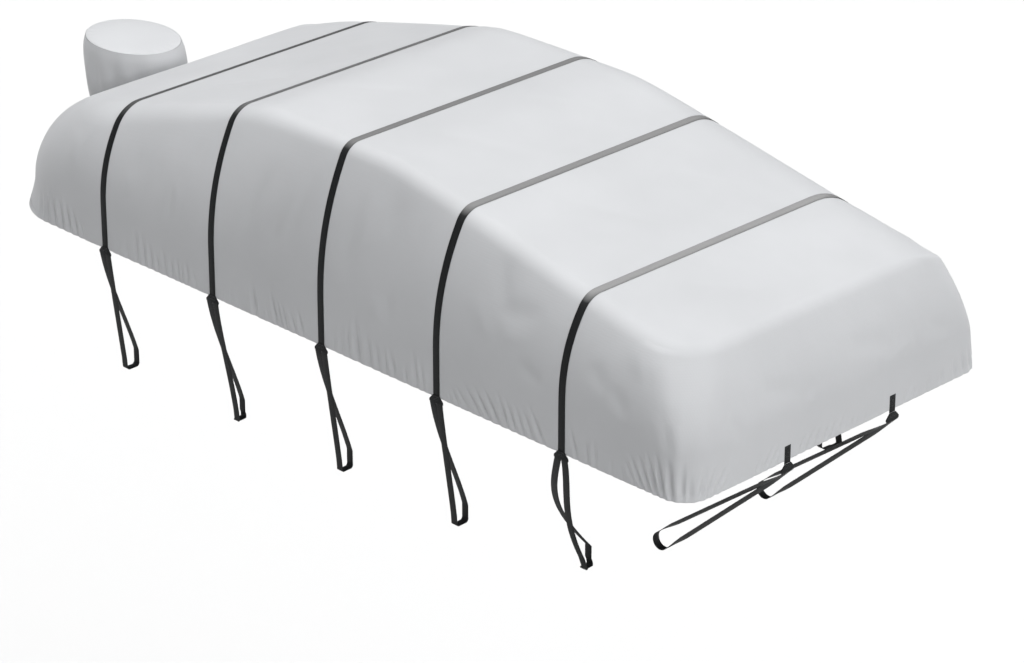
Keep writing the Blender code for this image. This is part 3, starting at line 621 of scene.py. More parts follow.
def creases(table, run, up):
    """Soft troughs and ridges along segments, fading towards both ends."""
    moved = np.zeros(len(run))
    for run0, up0, run1, up1, half, deep in table:
        along, rise = run1 - run0, up1 - up0
        share = ((run - run0) * along + (up - up0) * rise) / (along * along + rise * rise)
        share = np.clip(share, 0.0, 1.0)
        off = np.hypot(run - run0 - share * along, up - up0 - share * rise) / half
        moved -= CREASE_DEEP * deep * np.exp(-off * off) * np.sin(math.pi * share) ** CREASE_TAPER
    return moved


def crease_depth(points, normals):
    """How far gathers, creases and the pull of the straps move each point out along its normal."""
    x, y, up = points.T
    moved = np.zeros(len(points))
    on_side = on_sides(points)
    upright = normals[:, 2] < WALL_FACING
    for side in SIDES.values():
        mine = on_side & upright & (np.sign(y) == side)
        run = x[mine] + (0.0 if side < 0.0 else PORT_SHIFT)
        moved[mine] += gathers(SIDE_GATHERS, run, up[mine]) + creases(SIDE_CREASES, run, up[mine])
    for at_bow in (True, False):
        mine = ~on_side & upright & ((x > 0.0) == at_bow)
        run = y[mine] if at_bow else -y[mine]
        moved[mine] += gathers(END_GATHERS, run, up[mine]) + creases(END_CREASES, run, up[mine])
    starboard_bow = (x > BOW_X - RIDGE_NEAR) & (y < 0.0)
    facing = np.degrees(np.arctan2(normals[:, 1], normals[:, 0]))
    taut = np.exp(-((facing - RIDGE_FACING) / RIDGE_WIDE) ** 2)
    taut *= smooth(*RIDGE_STARTS, up) * (1.0 - smooth(*RIDGE_ENDS, up))
    moved += np.where(starboard_bow & upright, RIDGE_HIGH * taut, 0.0)
    moved += smooth(*TOP_FACING, normals[:, 2]) * creases(TOP_CREASES, x, y)
    draw = random.Random(SEED)
    for _ in range(WAVES):
        turn, step = draw.uniform(0.0, math.pi), draw.uniform(*WAVE_STEPS)
        phase, size = draw.uniform(0.0, WAVE_PHASE), draw.uniform(*WAVE_SIZES)
        run = x * math.cos(turn) + y * math.sin(turn)
        moved += size * np.sin(step * run + WAVE_CLIMB * up + phase)
    nearest = np.min([np.abs(x - strap_x) for strap_x in STRAP_X], axis=0)
    moved += PILLOW * (1.0 - np.exp(-(nearest / PILLOW_REACH) ** 2))
    return moved * away_from_webbing(points)


def fold_faces(start, around, rings):
    """Faces of a hem's folded rings, which begin at point start and go on from the first ring."""
    faces, base = [], list(range(around))
    for k in range(rings):
        ids = [start + k * around + i for i in range(around)]
        faces += [(base[(i + 1) % around], base[i], ids[i], ids[(i + 1) % around])
                  for i in range(around)]
        base = ids
    return faces


def hem_fold(points, normals, around):
    """Rings that carry the cloth round the hem's elastic and up inside it, and their faces."""
    hem, out = points[:around], normals[:around].copy()
    out[:, 2] = 0.0
    out /= np.linalg.norm(out, axis=1)[:, None]
    rings = []
    for turn in HEM_TURNS:
        a = math.radians(turn)
        ring = hem - out * HEM_ROUND * (1.0 - math.cos(a))
        ring[:, 2] += HEM_ROUND * (1.0 - math.sin(a)) - HEM_ROUND
        rings.append(ring)
    inside = rings[-1] - out * CASING_GAP
    rings += [inside + np.array([0.0, 0.0, CASING * height]) for height in CASING_RINGS]
    return np.concatenate(rings), fold_faces(len(points), around, len(rings))


# ---- pieces -------------------------------------------------------------------------------------
def add_piece(name, points, faces, finish, uvs=None, sharp=None):
    """A mesh piece at the hem's height, smooth, with a UV pair in metres for each point."""
    mesh = bpy.data.meshes.new(name)
    mesh.from_pydata([tuple(p) for p in points], [], faces)
    mesh.materials.append(finish)
    if uvs is not None:
        layer = mesh.uv_layers.new(name="web")
        for loop in mesh.loops:
            layer.data[loop.index].uv = uvs[loop.vertex_index]
    mesh.shade_smooth()
    if sharp:
        mesh.set_sharp_from_angle(angle=math.radians(sharp))
    made = bpy.data.objects.new(name, mesh)
    made.location.z = HEM_Z
    bpy.context.scene.collection.objects.link(made)
    return made


def place_piece(piece, material_slot, *nodes):
    """Puts a piece on the body in place of the named CAD nodes; material_slot is not used."""
    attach(piece, "root")
    if nodes:
        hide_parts(*nodes)


def unit(vector):
    return vector / max(np.linalg.norm(vector), 1e-12)


def web_strip(name, path, ways, finish, middle=0.0):
    """A strip of webbing along a path, and its length; ways is its width's direction at each point."""
    path = np.array(path, float)
    runs = np.diff(path, axis=0)
    along = np.array([unit(a) for a in runs])
    along = np.array([along[0]] + [unit(a + b) for a, b in zip(along, along[1:])] + [along[-1]])
    travel = np.concatenate([[0.0], np.cumsum(np.linalg.norm(runs, axis=1))])
    points, uvs = [], []
    for centre, way, run, gone in zip(path, ways, along, travel):
        way = np.array(way, float)
        out = unit(np.cross(way, run))
        for across, lift in WEB_SECTION:
            points.append(centre + way * across * WEB / 2.0 + out * (middle + lift * WEB_THICK / 2.0))
            uvs.append((across * WEB / 2.0, gone))
    size = len(WEB_SECTION)
    last = size * (len(path) - 1)
    faces = [tuple(reversed(range(size)))] + ring_faces(len(path), size)
    faces.append(tuple(range(last, last + size)))
    made = add_piece(name, points, faces, finish, uvs, sharp=50.0)
    face_out(made)
    return made, float(travel[-1])


def face_out(piece):
    """Turns all faces of a closed piece outwards."""
    shape = bmesh.new()
    shape.from_mesh(piece.data)
    bmesh.ops.recalc_face_normals(shape, faces=shape.faces)
    shape.to_mesh(piece.data)
    shape.free()


def strap_line(x):
    """Middle of a strap across the cover at x, starboard hem to port hem, and its width's way."""
    levels = [i / STRAP_RISE_STEPS for i in range(1, STRAP_RISE_STEPS + 1)]
    levels += [1.0 + i / STRAP_BEND_STEPS for i in range(1, STRAP_BEND_STEPS + 1)]
    edges = []
    for at in (x - WEB / 2.0, x + WEB / 2.0):
        starboard, port = [
            [(at, side * HALF_BEAM, STRAP_END)] + [cover_point(("side", at), side, t) for t in levels]
            for side in SIDES.values()]
        flat = [tuple(mix(a, b, i / STRAP_TOP_STEPS) for a, b in zip(starboard[-1], port[-1]))
                for i in range(1, STRAP_TOP_STEPS)]
        edges.append(np.array(starboard + flat + port[::-1]))
    aft, fore = edges
    return (aft + fore) / 2.0, [unit(way) for way in fore - aft]


def bezier(start, first, second, stop):
    """Points of a smooth curve from start to stop, drawn towards the two points between them."""
    path = []
    for step in range(LEG_STEPS + 1):
        s = step / LEG_STEPS
        shares = ((1 - s) ** 3, 3 * s * (1 - s) ** 2, 3 * s * s * (1 - s), s ** 3)
        path.append(tuple(sum(k * p for k, p in zip(shares, values))
                          for values in zip(start, first, second, stop)))
    return path


def leg(top, foot, bow_aft, handles):
    """One leg of a side tie, from the keeper down to its foot, bowed aft."""
    (high_bow, high_in, high_drop), (low_bow, low_in, low_rise) = handles
    tall = top[2] - foot[2]
    return bezier(top,
                  (top[0] - high_bow * bow_aft, high_in * foot[1], top[2] - high_drop * tall),
                  (foot[0] - low_bow * bow_aft, low_in * foot[1], foot[2] + low_rise * tall),
                  foot)


def bend(start_turn, end_turn, centre_in, centre_up):
    """One of the two round bends at a side tie's foot, as (inboard, up)."""
    turns = [mix(start_turn, end_turn, i / BEND_STEPS) for i in range(BEND_STEPS + 1)]
    return [(centre_in + LOOP_ROUND * math.cos(turn), centre_up + LOOP_ROUND * math.sin(turn))
            for turn in turns]


def tie_path(row):
    """Middle line of a tie as (x, inboard, up): down the far leg, round the loop, up the front."""
    front_x, front_in, far_x, far_in, bow_aft, foot = row
    tuck, start = KEEPER_FOOT + TIE_TUCK, KEEPER_FOOT - TIE_STRAIGHT
    far = leg((-LEG_SPREAD, 0.0, start), (far_x, far_in, foot + LOOP_HIGH), bow_aft, FAR_HANDLES)
    quarter = math.pi / 2.0
    corners = (bend(0.0, -quarter, far_in - LOOP_ROUND, foot + LOOP_ROUND)
               + bend(-quarter, -2.0 * quarter, front_in + LOOP_ROUND, foot + LOOP_ROUND))
    loop = [(mix(far_x, front_x, number / (len(corners) - 1)), inboard, up)
            for number, (inboard, up) in enumerate(corners)]
    front = leg((LEG_SPREAD, 0.0, start), (front_x, front_in, foot + 2.0 * LOOP_ROUND), bow_aft,
                FRONT_HANDLES)
    return ([(-LEG_SPREAD, 0.0, tuck)] + far + loop + front[:-1][::-1]
            + [(LEG_SPREAD, 0.0, tuck)])


def bow_tie_path():
    """Middle line of a bow tie as (aft, across, up), and its twist at each point."""
    tuck = KEEPER_FOOT - BOW_KEEPER_DROP + TIE_TUCK
    start = KEEPER_FOOT - BOW_KEEPER_DROP - TIE_STRAIGHT
    turns = [mix(-UNDER_TILT, math.pi - OVER_TILT, i / BOW_LOOP_STEPS)
             for i in range(BOW_LOOP_STEPS + 1)]
    loop = [(BOW_LOOP_AFT + BOW_LOOP_ROUND * math.sin(turn), 0.0,
             BOW_LOOP_UP - BOW_LOOP_ROUND * math.cos(turn)) for turn in turns]
    under, over, twists = [], [], []
    for i in range(LEG_STEPS):
        share = i / LEG_STEPS
        under.append(tuple(mix(a, b, share) for a, b in zip((0.0, LEG_SPREAD, start), loop[0])))
        over.append(tuple(mix(a, b, share) for a, b in zip((0.0, -LEG_SPREAD, start), loop[-1])))
        twists.append(BOW_TWIST * float(smooth(*TWIST_IN, share) * (1.0 - smooth(*TWIST_OUT, share))))
    path = [(0.0, LEG_SPREAD, tuck)] + under + loop + over[::-1] + [(0.0, -LEG_SPREAD, tuck)]
    return path, [0.0] + twists + [0.0] * len(loop) + twists[::-1] + [0.0]


def stitch_rows(name, rows, out, finish):
    """Thread laid in stitches along rows, each row from one point to another; out faces the eye."""
    points, faces = [], []
    out = unit(np.array(out, float))
    for start, stop in rows:
        start, stop = np.array(start, float), np.array(stop, float)
        long = np.linalg.norm(stop - start)
        count = max(1, round(long / STITCH_PITCH))
        run = (stop - start) / long
        across = np.cross(out, run)
        for i in range(count):
            centre = start + run * long * (i + 0.5) / count
            base = len(points)
            for s, size in STITCH_SHAPE:
                for a, b in ((-1, 0), (0, 1), (1, 0), (0, -1)):
                    points.append(centre + run * s * STITCH_LONG
                                  + (across * a + out * b) * THREAD / 2.0 * size)
            faces.append(tuple(base + k for k in (3, 2, 1, 0)))
            faces += [tuple(base + k for k in f) for f in ring_faces(4, 4)]
            faces.append(tuple(base + 12 + k for k in range(4)))
    made = add_piece(name, points, faces, finish)
    face_out(made)
    return made


def box_stitch(corners):
    """Rows of stitches round four corners, and from corner to corner across them."""
    return ([(corners[i], corners[(i + 1) % 4]) for i in range(4)]
            + [(corners[0], corners[2]), (corners[1], corners[3])])


def keeper(name, origin, across, out, top, drop, finish, thread):
    """Folded webbing: two plies that part below to hold a tie's ends, and a box of stitches."""
    origin, across, out = (np.array(v, float) for v in (origin, across, out))
    shoulder, foot = KEEPER_CORNER - drop, KEEPER_FOOT - drop
    half_top, half_wide = WEB / 2.0, KEEPER_WIDE / 2.0
    outline = [(-half_top, top), (half_top, top), (half_wide, shoulder), (half_wide, foot),
               (-half_wide, foot), (-half_wide, shoulder)]
    slot = (KEEPER_GAP + KEEPER_PLY, KEEPER_GAP + KEEPER_PLY + KEEPER_ROOM)
    face = slot[1] + KEEPER_PLY

    def spot(a, depth, up):
        return origin + across * a + out * depth + np.array([0.0, 0.0, up])

    layers = [(KEEPER_BACK[0], KEEPER_GAP), (1.0, KEEPER_GAP + KEEPER_BACK[1]),
              (1.0, face - KEEPER_FACE[1]), (KEEPER_FACE[0], face)]
    points = [spot(a * share, depth, mix((top + foot) / 2.0, up, share))
              for share, depth in layers for a, up in outline]
    count = len(outline)
    faces = [tuple(reversed(range(count)))]
    faces += ring_faces(len(layers), count)
    faces.append(tuple(range(count * (len(layers) - 1), count * len(layers))))
    uvs = [(a, up) for _ in layers for a, up in outline]
    made = add_piece(name, points, faces, finish, uvs, sharp=30.0)
    face_out(made)
    past, high, low = half_wide + SLOT_PAST, foot + TIE_TUCK, foot - SLOT_PAST
    cut_points = [spot(a, depth, up) for depth in slot
                  for a, up in ((-past, high), (past, high), (past, low), (-past, low))]
    cut = add_piece(name + "_cut", cut_points,
                    [(0, 1, 2, 3), (7, 6, 5, 4), (0, 4, 5, 1), (1, 5, 6, 2), (2, 6, 7, 3),
                     (3, 7, 4, 0)], finish)
    face_out(cut)
    solid = made.modifiers.new("slot", "BOOLEAN")
    solid.operation, solid.solver, solid.object = "DIFFERENCE", "EXACT", cut
    settle(made)
    bpy.data.objects.remove(cut)
    half, high, low = half_top - STITCH_INSET, top - STITCH_INSET, shoulder + STITCH_OVER_FLARE
    corners = [spot(a, face + THREAD * STITCH_PROUD, up)
               for a, up in ((-half, low), (half, low), (half, high), (-half, high))]
    return made, stitch_rows(name + "_thread", box_stitch(corners), out, thread)


def settle(piece):
    """Applies a piece's modifiers to its mesh."""
    graph = bpy.context.evaluated_depsgraph_get()
    mesh = bpy.data.meshes.new_from_object(piece.evaluated_get(graph))
    piece.modifiers.clear()
    old, piece.data = piece.data, mesh
    bpy.data.meshes.remove(old)


# ---- hood -----------------------------------------------------------------------------------------
def hood_profile(share):
    """Size of the hood at a share of its height: a smooth run through HOOD_BAND."""
    ups, sizes = zip(*HOOD_BAND)
    last = len(ups) - 1
    slopes = [(sizes[min(i + 1, last)] - sizes[max(i - 1, 0)])
              / (ups[min(i + 1, last)] - ups[max(i - 1, 0)]) for i in range(last + 1)]
    i = next((i for i in range(last) if share <= ups[i + 1]), last - 1)
    wide = ups[i + 1] - ups[i]
    s = (share - ups[i]) / wide
    return ((2 * s ** 3 - 3 * s ** 2 + 1) * sizes[i] + (s ** 3 - 2 * s ** 2 + s) * wide * slopes[i]
            + (3 * s ** 2 - 2 * s ** 3) * sizes[i + 1] + (s ** 3 - s ** 2) * wide * slopes[i + 1])


def hood_point(share, size, turn, rise=0.0):
    """Point on the hood at a share of its height; its size there is 1 at the full half width."""
    height = HOOD_TOP * share
    size *= 1.0 + HOOD_FULL * max(0.0, -math.cos(turn)) * (HOOD_FULL_TO - share)
    x = HOOD_LONG * size * math.cos(turn)
    y = HOOD_WIDE * size * math.sin(turn)
    return (HOOD_X + HOOD_LEAN * (HOOD_TOP - height) + x, HOOD_Y + y,
            height + rise + (HOOD_TIP * x + HOOD_TILT * y) * share)


def hood_fold(turn, share):
    """How far the folds and the hem's gathers move the band out."""
    degrees = math.degrees(turn)
    depth = 0.0
    for at, half, deepest, deep in HOOD_FOLDS:
        off = ((degrees - at + 180.0) % 360.0 - 180.0) / half
        depth -= deep * math.exp(-off * off) * math.exp(-((share - deepest) / FOLD_TALL) ** 2)
    gather = 0.5 + 0.5 * math.sin(HOOD_GATHERS * turn + 1.7 * math.sin(3.0 * turn))
    depth -= HOOD_GATHER_DEEP * gather * float(1.0 - smooth(0.0, FOLD_TALL, share))
    return depth


def build_hood_band(finish):
    """Side band, open below, its hem gathered and folded in."""
    turns = [2.0 * math.pi * i / HOOD_AROUND for i in range(HOOD_AROUND)]
    points = []
    for row in range(HOOD_ROWS + 1):
        share = SEAM_AT * row / HOOD_ROWS
        size = hood_profile(share)
        for turn in turns:
            fold = hood_fold(turn, share) / HOOD_WIDE
            points.append(hood_point(share, size + fold, turn))
    faces = ring_faces(HOOD_ROWS + 1, HOOD_AROUND)
    faces += fold_faces(len(points), HOOD_AROUND, len(HOOD_HEM))
    hem = [(x - step_in * math.cos(turn), y - step_in * math.sin(turn), z + up + HOOD_HEM_UP)
           for step_in, up in HOOD_HEM for (x, y, z), turn in zip(points, turns)]
    return add_piece("hood_side_cloth", points + hem, faces, finish)


def build_hood_lid(finish):
    """Top panel, its edge rolled over into a corded seam on the band."""
    turns = [2.0 * math.pi * i / HOOD_AROUND for i in range(HOOD_AROUND)]
    edge = HOOD_BAND[-1][1] - HOOD_SEAM / HOOD_WIDE
    rings = [(edge - HOOD_BEAD / HOOD_WIDE + HOOD_BEAD * math.cos(math.radians(a)) / HOOD_WIDE,
              HOOD_BEAD * math.sin(math.radians(a)) + HOOD_BEAD_UP) for a in BEAD_TURNS]
    for k in range(LID_RINGS):
        share = LID_OUTER - LID_SHRINK * k / (LID_RINGS - 1)
        rings.append((edge * share, LID_RISE + HOOD_CROWN * (1.0 - share ** 4)))
    points = []
    for k, (size, rise) in enumerate(rings):
        for turn in turns:
            ripple = 0.0
            if k > len(BEAD_TURNS):
                near = math.exp(-((edge - size) / PUCKER_REACH) ** 2)
                ripple = PUCKER_DEEP * near * math.sin(PUCKERS * turn + 2.0 * math.sin(5.0 * turn))
            points.append(hood_point(SEAM_AT, size, turn, rise + ripple))
    points.append(hood_point(SEAM_AT, 0.0, 0.0, rings[-1][1]))
    faces = ring_faces(len(rings), HOOD_AROUND)
    last = (len(rings) - 1) * HOOD_AROUND
    faces += [(last + i, last + (i + 1) % HOOD_AROUND, len(points) - 1) for i in range(HOOD_AROUND)]
    return add_piece("hood_top_cloth", points, faces, finish)


# ---- finishes -----------------------------------------------------------------------------------
def add_node(tree, kind, inputs=None, **settings):
    """A node with its settings; an input is a value, or a socket to link from."""
    node = tree.nodes.new(kind)
    for key, value in settings.items():
        setattr(node, key, value)
    for key, value in (inputs or {}).items():
        if isinstance(value, bpy.types.NodeSocket):
            tree.links.new(value, node.inputs[key])
        else:
            node.inputs[key].default_value = value
    return node


def new_finish(name, roughness):
    """A new material, its node tree and its shader."""
    made = bpy.data.materials.new(name)
    made.use_nodes = True
    shader = made.node_tree.nodes["Principled BSDF"]
    shader.inputs["Roughness"].default_value = roughness
    return made, made.node_tree, shader


def coated_polyester(colour):
    """Plain-woven polyester with a matt coating: even, soft to the light, with a faint grain.

    Its threads are about 0.5 mm, too fine to show here, so the grain is drawn at 12 mm.
    """
    made, tree, shader = new_finish("coated_polyester_woven", 0.5)
    link = tree.links.new
    place = add_node(tree, "ShaderNodeTexCoord").outputs["Object"]
    scale = 2.0 * math.pi / (WAVE_TURNS * GRAIN_PITCH)
    grain = []
    for axis in "XYZ":
        wave = add_node(tree, "ShaderNodeTexWave", {"Vector": place, "Scale": scale},
                        wave_type="BANDS", bands_direction=axis)
        grain.append(wave.outputs["Fac"])
    first = add_node(tree, "ShaderNodeMath", {0: grain[0], 1: grain[1]}, operation="ADD")
    weave = add_node(tree, "ShaderNodeMath", {0: first.outputs[0], 1: grain[2]}, operation="ADD")
    cloud = add_node(tree, "ShaderNodeTexNoise",
                     {"Vector": place, "Scale": 1.6, "Detail": 3.0, "Roughness": 0.5})
    tone = add_node(tree, "ShaderNodeMapRange", {"Value": cloud.outputs["Fac"], "From Min": 0.3,
                                                 "From Max": 0.7, "To Min": 0.965, "To Max": 1.03})
    shade = add_node(tree, "ShaderNodeVectorMath", {0: colour[:3], "Scale": tone.outputs["Result"]},
                     operation="SCALE")
    link(shade.outputs["Vector"], shader.inputs["Base Color"])
    pucker = add_node(tree, "ShaderNodeTexNoise", {"Vector": place, "Scale": 9.0, "Detail": 4.0})
    fine = add_node(tree, "ShaderNodeBump", {"Height": weave.outputs[0], "Strength": 0.10,
                                             "Distance": 0.0006})
    soft = add_node(tree, "ShaderNodeBump", {"Height": pucker.outputs["Fac"], "Strength": 0.16,
                                             "Distance": 0.006, "Normal": fine.outputs["Normal"]})
    link(soft.outputs["Normal"], shader.inputs["Normal"])
    shader.inputs["Specular IOR Level"].default_value = 0.18
    shader.inputs["Sheen Weight"].default_value = 0.06
    shader.inputs["Sheen Roughness"].default_value = 0.5
    return made


def polypropylene_webbing(colour, painted_sheen):
    """Woven polypropylene tape: dull black, with ribs across it that break up its sheen.

    Higher up, where it faces up, it is painted lighter, most towards the bow: a painted sheen.
    Its ribs are 1.5 mm apart, and are drawn at 4 mm so that they show.
    """
    made, tree, shader = new_finish("polypropylene_webbing_woven", 0.55)
    link = tree.links.new
    uv = add_node(tree, "ShaderNodeUVMap", uv_map="web").outputs["UV"]
    part = add_node(tree, "ShaderNodeSeparateXYZ", {"Vector": uv})
    rib = add_node(tree, "ShaderNodeMath", {0: part.outputs["Y"], 1: 2.0 * math.pi / RIB_PITCH},
                   operation="MULTIPLY")
    wave = add_node(tree, "ShaderNodeMath", {0: rib.outputs[0]}, operation="SINE")
    weft = add_node(tree, "ShaderNodeMath", {0: part.outputs["X"], 1: 2.0 * math.pi / WEFT_PITCH},
                    operation="MULTIPLY")
    across = add_node(tree, "ShaderNodeMath", {0: weft.outputs[0]}, operation="SINE")
    both = add_node(tree, "ShaderNodeMath", {0: wave.outputs[0], 1: across.outputs[0]},
                    operation="ADD")
    bump = add_node(tree, "ShaderNodeBump", {"Height": both.outputs[0], "Strength": 0.35,
                                             "Distance": 0.0007})
    link(bump.outputs["Normal"], shader.inputs["Normal"])
    facing = add_node(tree, "ShaderNodeSeparateXYZ",
                      {"Vector": add_node(tree, "ShaderNodeNewGeometry").outputs["Normal"]})
    # Painted sheen: the webbing is mixed to a lighter grey where it faces up, high on the cover, and
    # more so towards the bow.
    sky = add_node(tree, "ShaderNodeMapRange", {"Value": facing.outputs["Z"], "From Min": 0.72,
                                                "From Max": 0.97})
    spot = add_node(tree, "ShaderNodeSeparateXYZ",
                    {"Vector": add_node(tree, "ShaderNodeTexCoord").outputs["Object"]})
    fore = add_node(tree, "ShaderNodeMapRange", {"Value": spot.outputs["X"], "From Min": -2.3,
                                                 "From Max": 2.0, "To Min": 0.18, "To Max": 1.0})
    high = add_node(tree, "ShaderNodeMapRange", {"Value": spot.outputs["Z"], "From Min": 0.45,
                                                 "From Max": 0.60})
    up_and_high = add_node(tree, "ShaderNodeMath",
                        {0: sky.outputs["Result"], 1: high.outputs["Result"]}, operation="MULTIPLY")
    sheen_mask = add_node(tree, "ShaderNodeMath", {0: up_and_high.outputs[0], 1: fore.outputs["Result"]},
                      operation="MULTIPLY")
    blend = add_node(tree, "ShaderNodeMix", {"Factor": sheen_mask.outputs[0], "A": colour, "B": painted_sheen},
                     data_type="RGBA")
    link(blend.outputs["Result"], shader.inputs["Base Color"])
    shader.inputs["Specular IOR Level"].default_value = 0.15
    return made


def polyester_thread(colour):
    """Twisted polyester thread: a little glossier than the webbing, so its stitches catch the light."""
    made, tree, shader = new_finish("polyester_thread_twisted", 0.42)
    place = add_node(tree, "ShaderNodeTexCoord").outputs["Object"]
    twist = add_node(tree, "ShaderNodeTexNoise", {"Vector": place, "Scale": 900.0})
    tone = add_node(tree, "ShaderNodeMapRange", {"Value": twist.outputs["Fac"], "To Min": 0.7,
                                                 "To Max": 1.3})
    shade = add_node(tree, "ShaderNodeVectorMath", {0: colour[:3], "Scale": tone.outputs["Result"]},
                     operation="SCALE")
    tree.links.new(shade.outputs["Vector"], shader.inputs["Base Color"])
    return made


def painted_floor(colour):
    """Matt painted floor: flat and pale, so that it stays behind the cover."""
    made, _, shader = new_finish("floor_paint_matt", 0.95)
    shader.inputs["Base Color"].default_value = colour
    shader.inputs["Specular IOR Level"].default_value = 0.1
    return made


def finish(name, maker, *colours):
    """The named material, made on its first use."""
    return bpy.data.materials.get(name) or maker(*colours)


def cloth_finish():
    return finish("coated_polyester_woven", coated_polyester,
                  bpy.context.scene.cover_looks.cloth_colour)


def web_finish():
    looks = bpy.context.scene.webbing_looks
    return finish("polypropylene_webbing_woven", polypropylene_webbing, looks.colour, looks.painted_sheen)


def thread_finish():
    return finish("polyester_thread_twisted", polyester_thread,
                  bpy.context.scene.webbing_looks.thread)


# ---- user settings ------------------------------------------------------------------------------
class CoverLooks(bpy.types.PropertyGroup):
    cloth_colour: FloatVectorProperty(
        name="Cloth colour", description="Colour of the coated cloth", subtype="COLOR", size=4,
        min=0.0, max=1.0, default=linear("#a3a4a6"))
    crease: FloatProperty(
        name="Crease depth", description="How strongly creases and gathers show", default=1.0,
        min=0.0, max=2.0, subtype="FACTOR")


class WebbingLooks(bpy.types.PropertyGroup):
    colour: FloatVectorProperty(
        name="Webbing colour", description="Colour of the straps and ties", subtype="COLOR",
        size=4, min=0.0, max=1.0, default=linear("#131415"))
    # Painted sheen: the lighter grey that webbing facing up, high on the cover, is mixed towards.
    painted_sheen: FloatVectorProperty(
        name="Faded colour", description="Colour of webbing that the sun has bleached",
        subtype="COLOR", size=4, min=0.0, max=1.0, default=linear("#7c7c7c"))
    thread: FloatVectorProperty(
        name="Thread colour", description="Colour of the stitches", subtype="COLOR", size=4,
        min=0.0, max=1.0, default=linear("#2e3032"))


class StageLooks(bpy.types.PropertyGroup):
    floor_drop: FloatProperty(
        name="Floor below hem", description="Height of the hem over the floor", default=6.0,
        min=0.9, max=9.0, unit="LENGTH")
    ambient: FloatProperty(
        name="Room light", description="Strength of the even light of the room", default=0.05,
        min=0.0, max=4.0)
    lens: FloatProperty(
        name="Lens", description="Focal length", default=138.87, min=20.0, max=300.0,
        subtype="DISTANCE_CAMERA")


# ---- operators ------------------------------------------------------------------------------------
class COVER_OT_cloth(bpy.types.Operator):
    """Build the cover's cloth with its gathers, creases and elastic hem"""
    bl_idname = "cover.cloth"
    bl_label = "Build Cover Cloth"

    def execute(self, context):
        points, faces, around = cover_mesh()
        normals = point_normals(points, faces)
        depth = crease_depth(points, normals) * context.scene.cover_looks.crease
        points = points + normals * depth[:, None]
        fold, fold_faces = hem_fold(points, normals, around)
        piece = add_piece("cover_cloth", np.concatenate([points, fold]), faces + fold_faces,
                          cloth_finish())
        place_piece(piece, "coated_cloth", "cover")
        return {"FINISHED"}


class COVER_OT_straps(bpy.types.Operator):
    """Build the five straps over the cover"""
    bl_idname = "cover.straps"
    bl_label = "Build Straps"

    def execute(self, context):
        for number, strap_x in enumerate(STRAP_X, start=1):
            path, ways = strap_line(strap_x)
            piece, long = web_strip(f"strap_web_{number}", path, ways, web_finish(),
                                    middle=LIFT + WEB_THICK / 2.0)
            place_piece(piece, "webbing", f"strap_{number}")
        return {"FINISHED"}


class COVER_OT_ties(bpy.types.Operator):
    """Build the side ties and the keepers that hold them"""
    bl_idname = "cover.ties"
    bl_label = "Build Side Ties"

    def execute(self, context):
        for number, strap_x in enumerate(STRAP_X, start=1):
            for side_name, side in SIDES.items():
                label = f"{number}_{side_name}"
                holder, thread = keeper(
                    f"keeper_web_{label}", (strap_x, side * HALF_BEAM, 0.0), (1, 0, 0),
                    (0, side, 0), STRAP_END - KEEPER_GAP, 0.0, web_finish(), thread_finish())
                place_piece(holder, "webbing", f"keeper_{label}")
                place_piece(thread, "webbing")
                path = [(strap_x + x, side * (HALF_BEAM + SLOT_MIDDLE - inboard), up)
                        for x, inboard, up in tie_path(TIE_ROWS[number - 1])]
                piece, long = web_strip(f"tie_web_{label}", path, [(1.0, 0.0, 0.0)] * len(path),
                                        web_finish())
                place_piece(piece, "webbing", f"tie_{label}")
        return {"FINISHED"}


class COVER_OT_bow_ties(bpy.types.Operator):
    """Build the two bow ties with their tabs and keepers"""
    bl_idname = "cover.bow_ties"
    bl_label = "Build Bow Ties"

    def execute(self, context):
        for side_name, side in SIDES.items():
            y = side * TAB_Y
            foot = STRAP_END - BOW_KEEPER_DROP
            path = [(BOW_X + LIFT, y, mix(TAB_HIGH, foot, i / TAB_STEPS))
                    for i in range(TAB_STEPS + 1)]
            tab, long = web_strip(f"bow_tab_web_{side_name}", path, [(0.0, 1.0, 0.0)] * len(path),
                                  web_finish(), middle=WEB_THICK / 2.0)
            place_piece(tab, "webbing", f"bow_tab_{side_name}")
            face_x = BOW_X + LIFT + WEB_THICK + THREAD * STITCH_PROUD
            half, low, high = TAB_STITCH_HALF, TAB_STITCH_LOW, TAB_HIGH - TAB_STITCH_DROP
            corners = [(face_x, y + a, up)
                       for a, up in ((-half, low), (half, low), (half, high), (-half, high))]
            place_piece(stitch_rows(f"bow_tab_thread_{side_name}", box_stitch(corners), (1, 0, 0),
                                    thread_finish()), "webbing")
            holder, thread = keeper(
                f"bow_keeper_web_{side_name}", (BOW_X, y, 0.0), (0, 1, 0), (1, 0, 0),
                foot - KEEPER_GAP, BOW_KEEPER_DROP, web_finish(), thread_finish())
            place_piece(holder, "webbing", f"bow_keeper_{side_name}")
            place_piece(thread, "webbing")
            line, twists = bow_tie_path()
            line = [(BOW_X + SLOT_MIDDLE - aft, y + across, up) for aft, across, up in line]
            tilt = (UNDER_TILT + OVER_TILT) / 2.0
            ways = [(math.sin(turn) * math.sin(tilt), math.cos(turn),
                     -math.sin(turn) * math.cos(tilt)) for turn in twists]
            piece, long = web_strip(f"bow_tie_web_{side_name}", line, ways, web_finish())
            place_piece(piece, "webbing", f"bow_tie_{side_name}")
        return {"FINISHED"}


class COVER_OT_hood(bpy.types.Operator):
    """Build the hood: a side band with an elastic hem, and a top panel on a corded seam"""
    bl_idname = "cover.hood"
    bl_label = "Build Hood"

    def execute(self, context):
        band = build_hood_band(cloth_finish())
        place_piece(band, "coated_cloth", "hood_band")
        lid = build_hood_lid(cloth_finish())
        place_piece(lid, "coated_cloth", "hood_top")
        return {"FINISHED"}


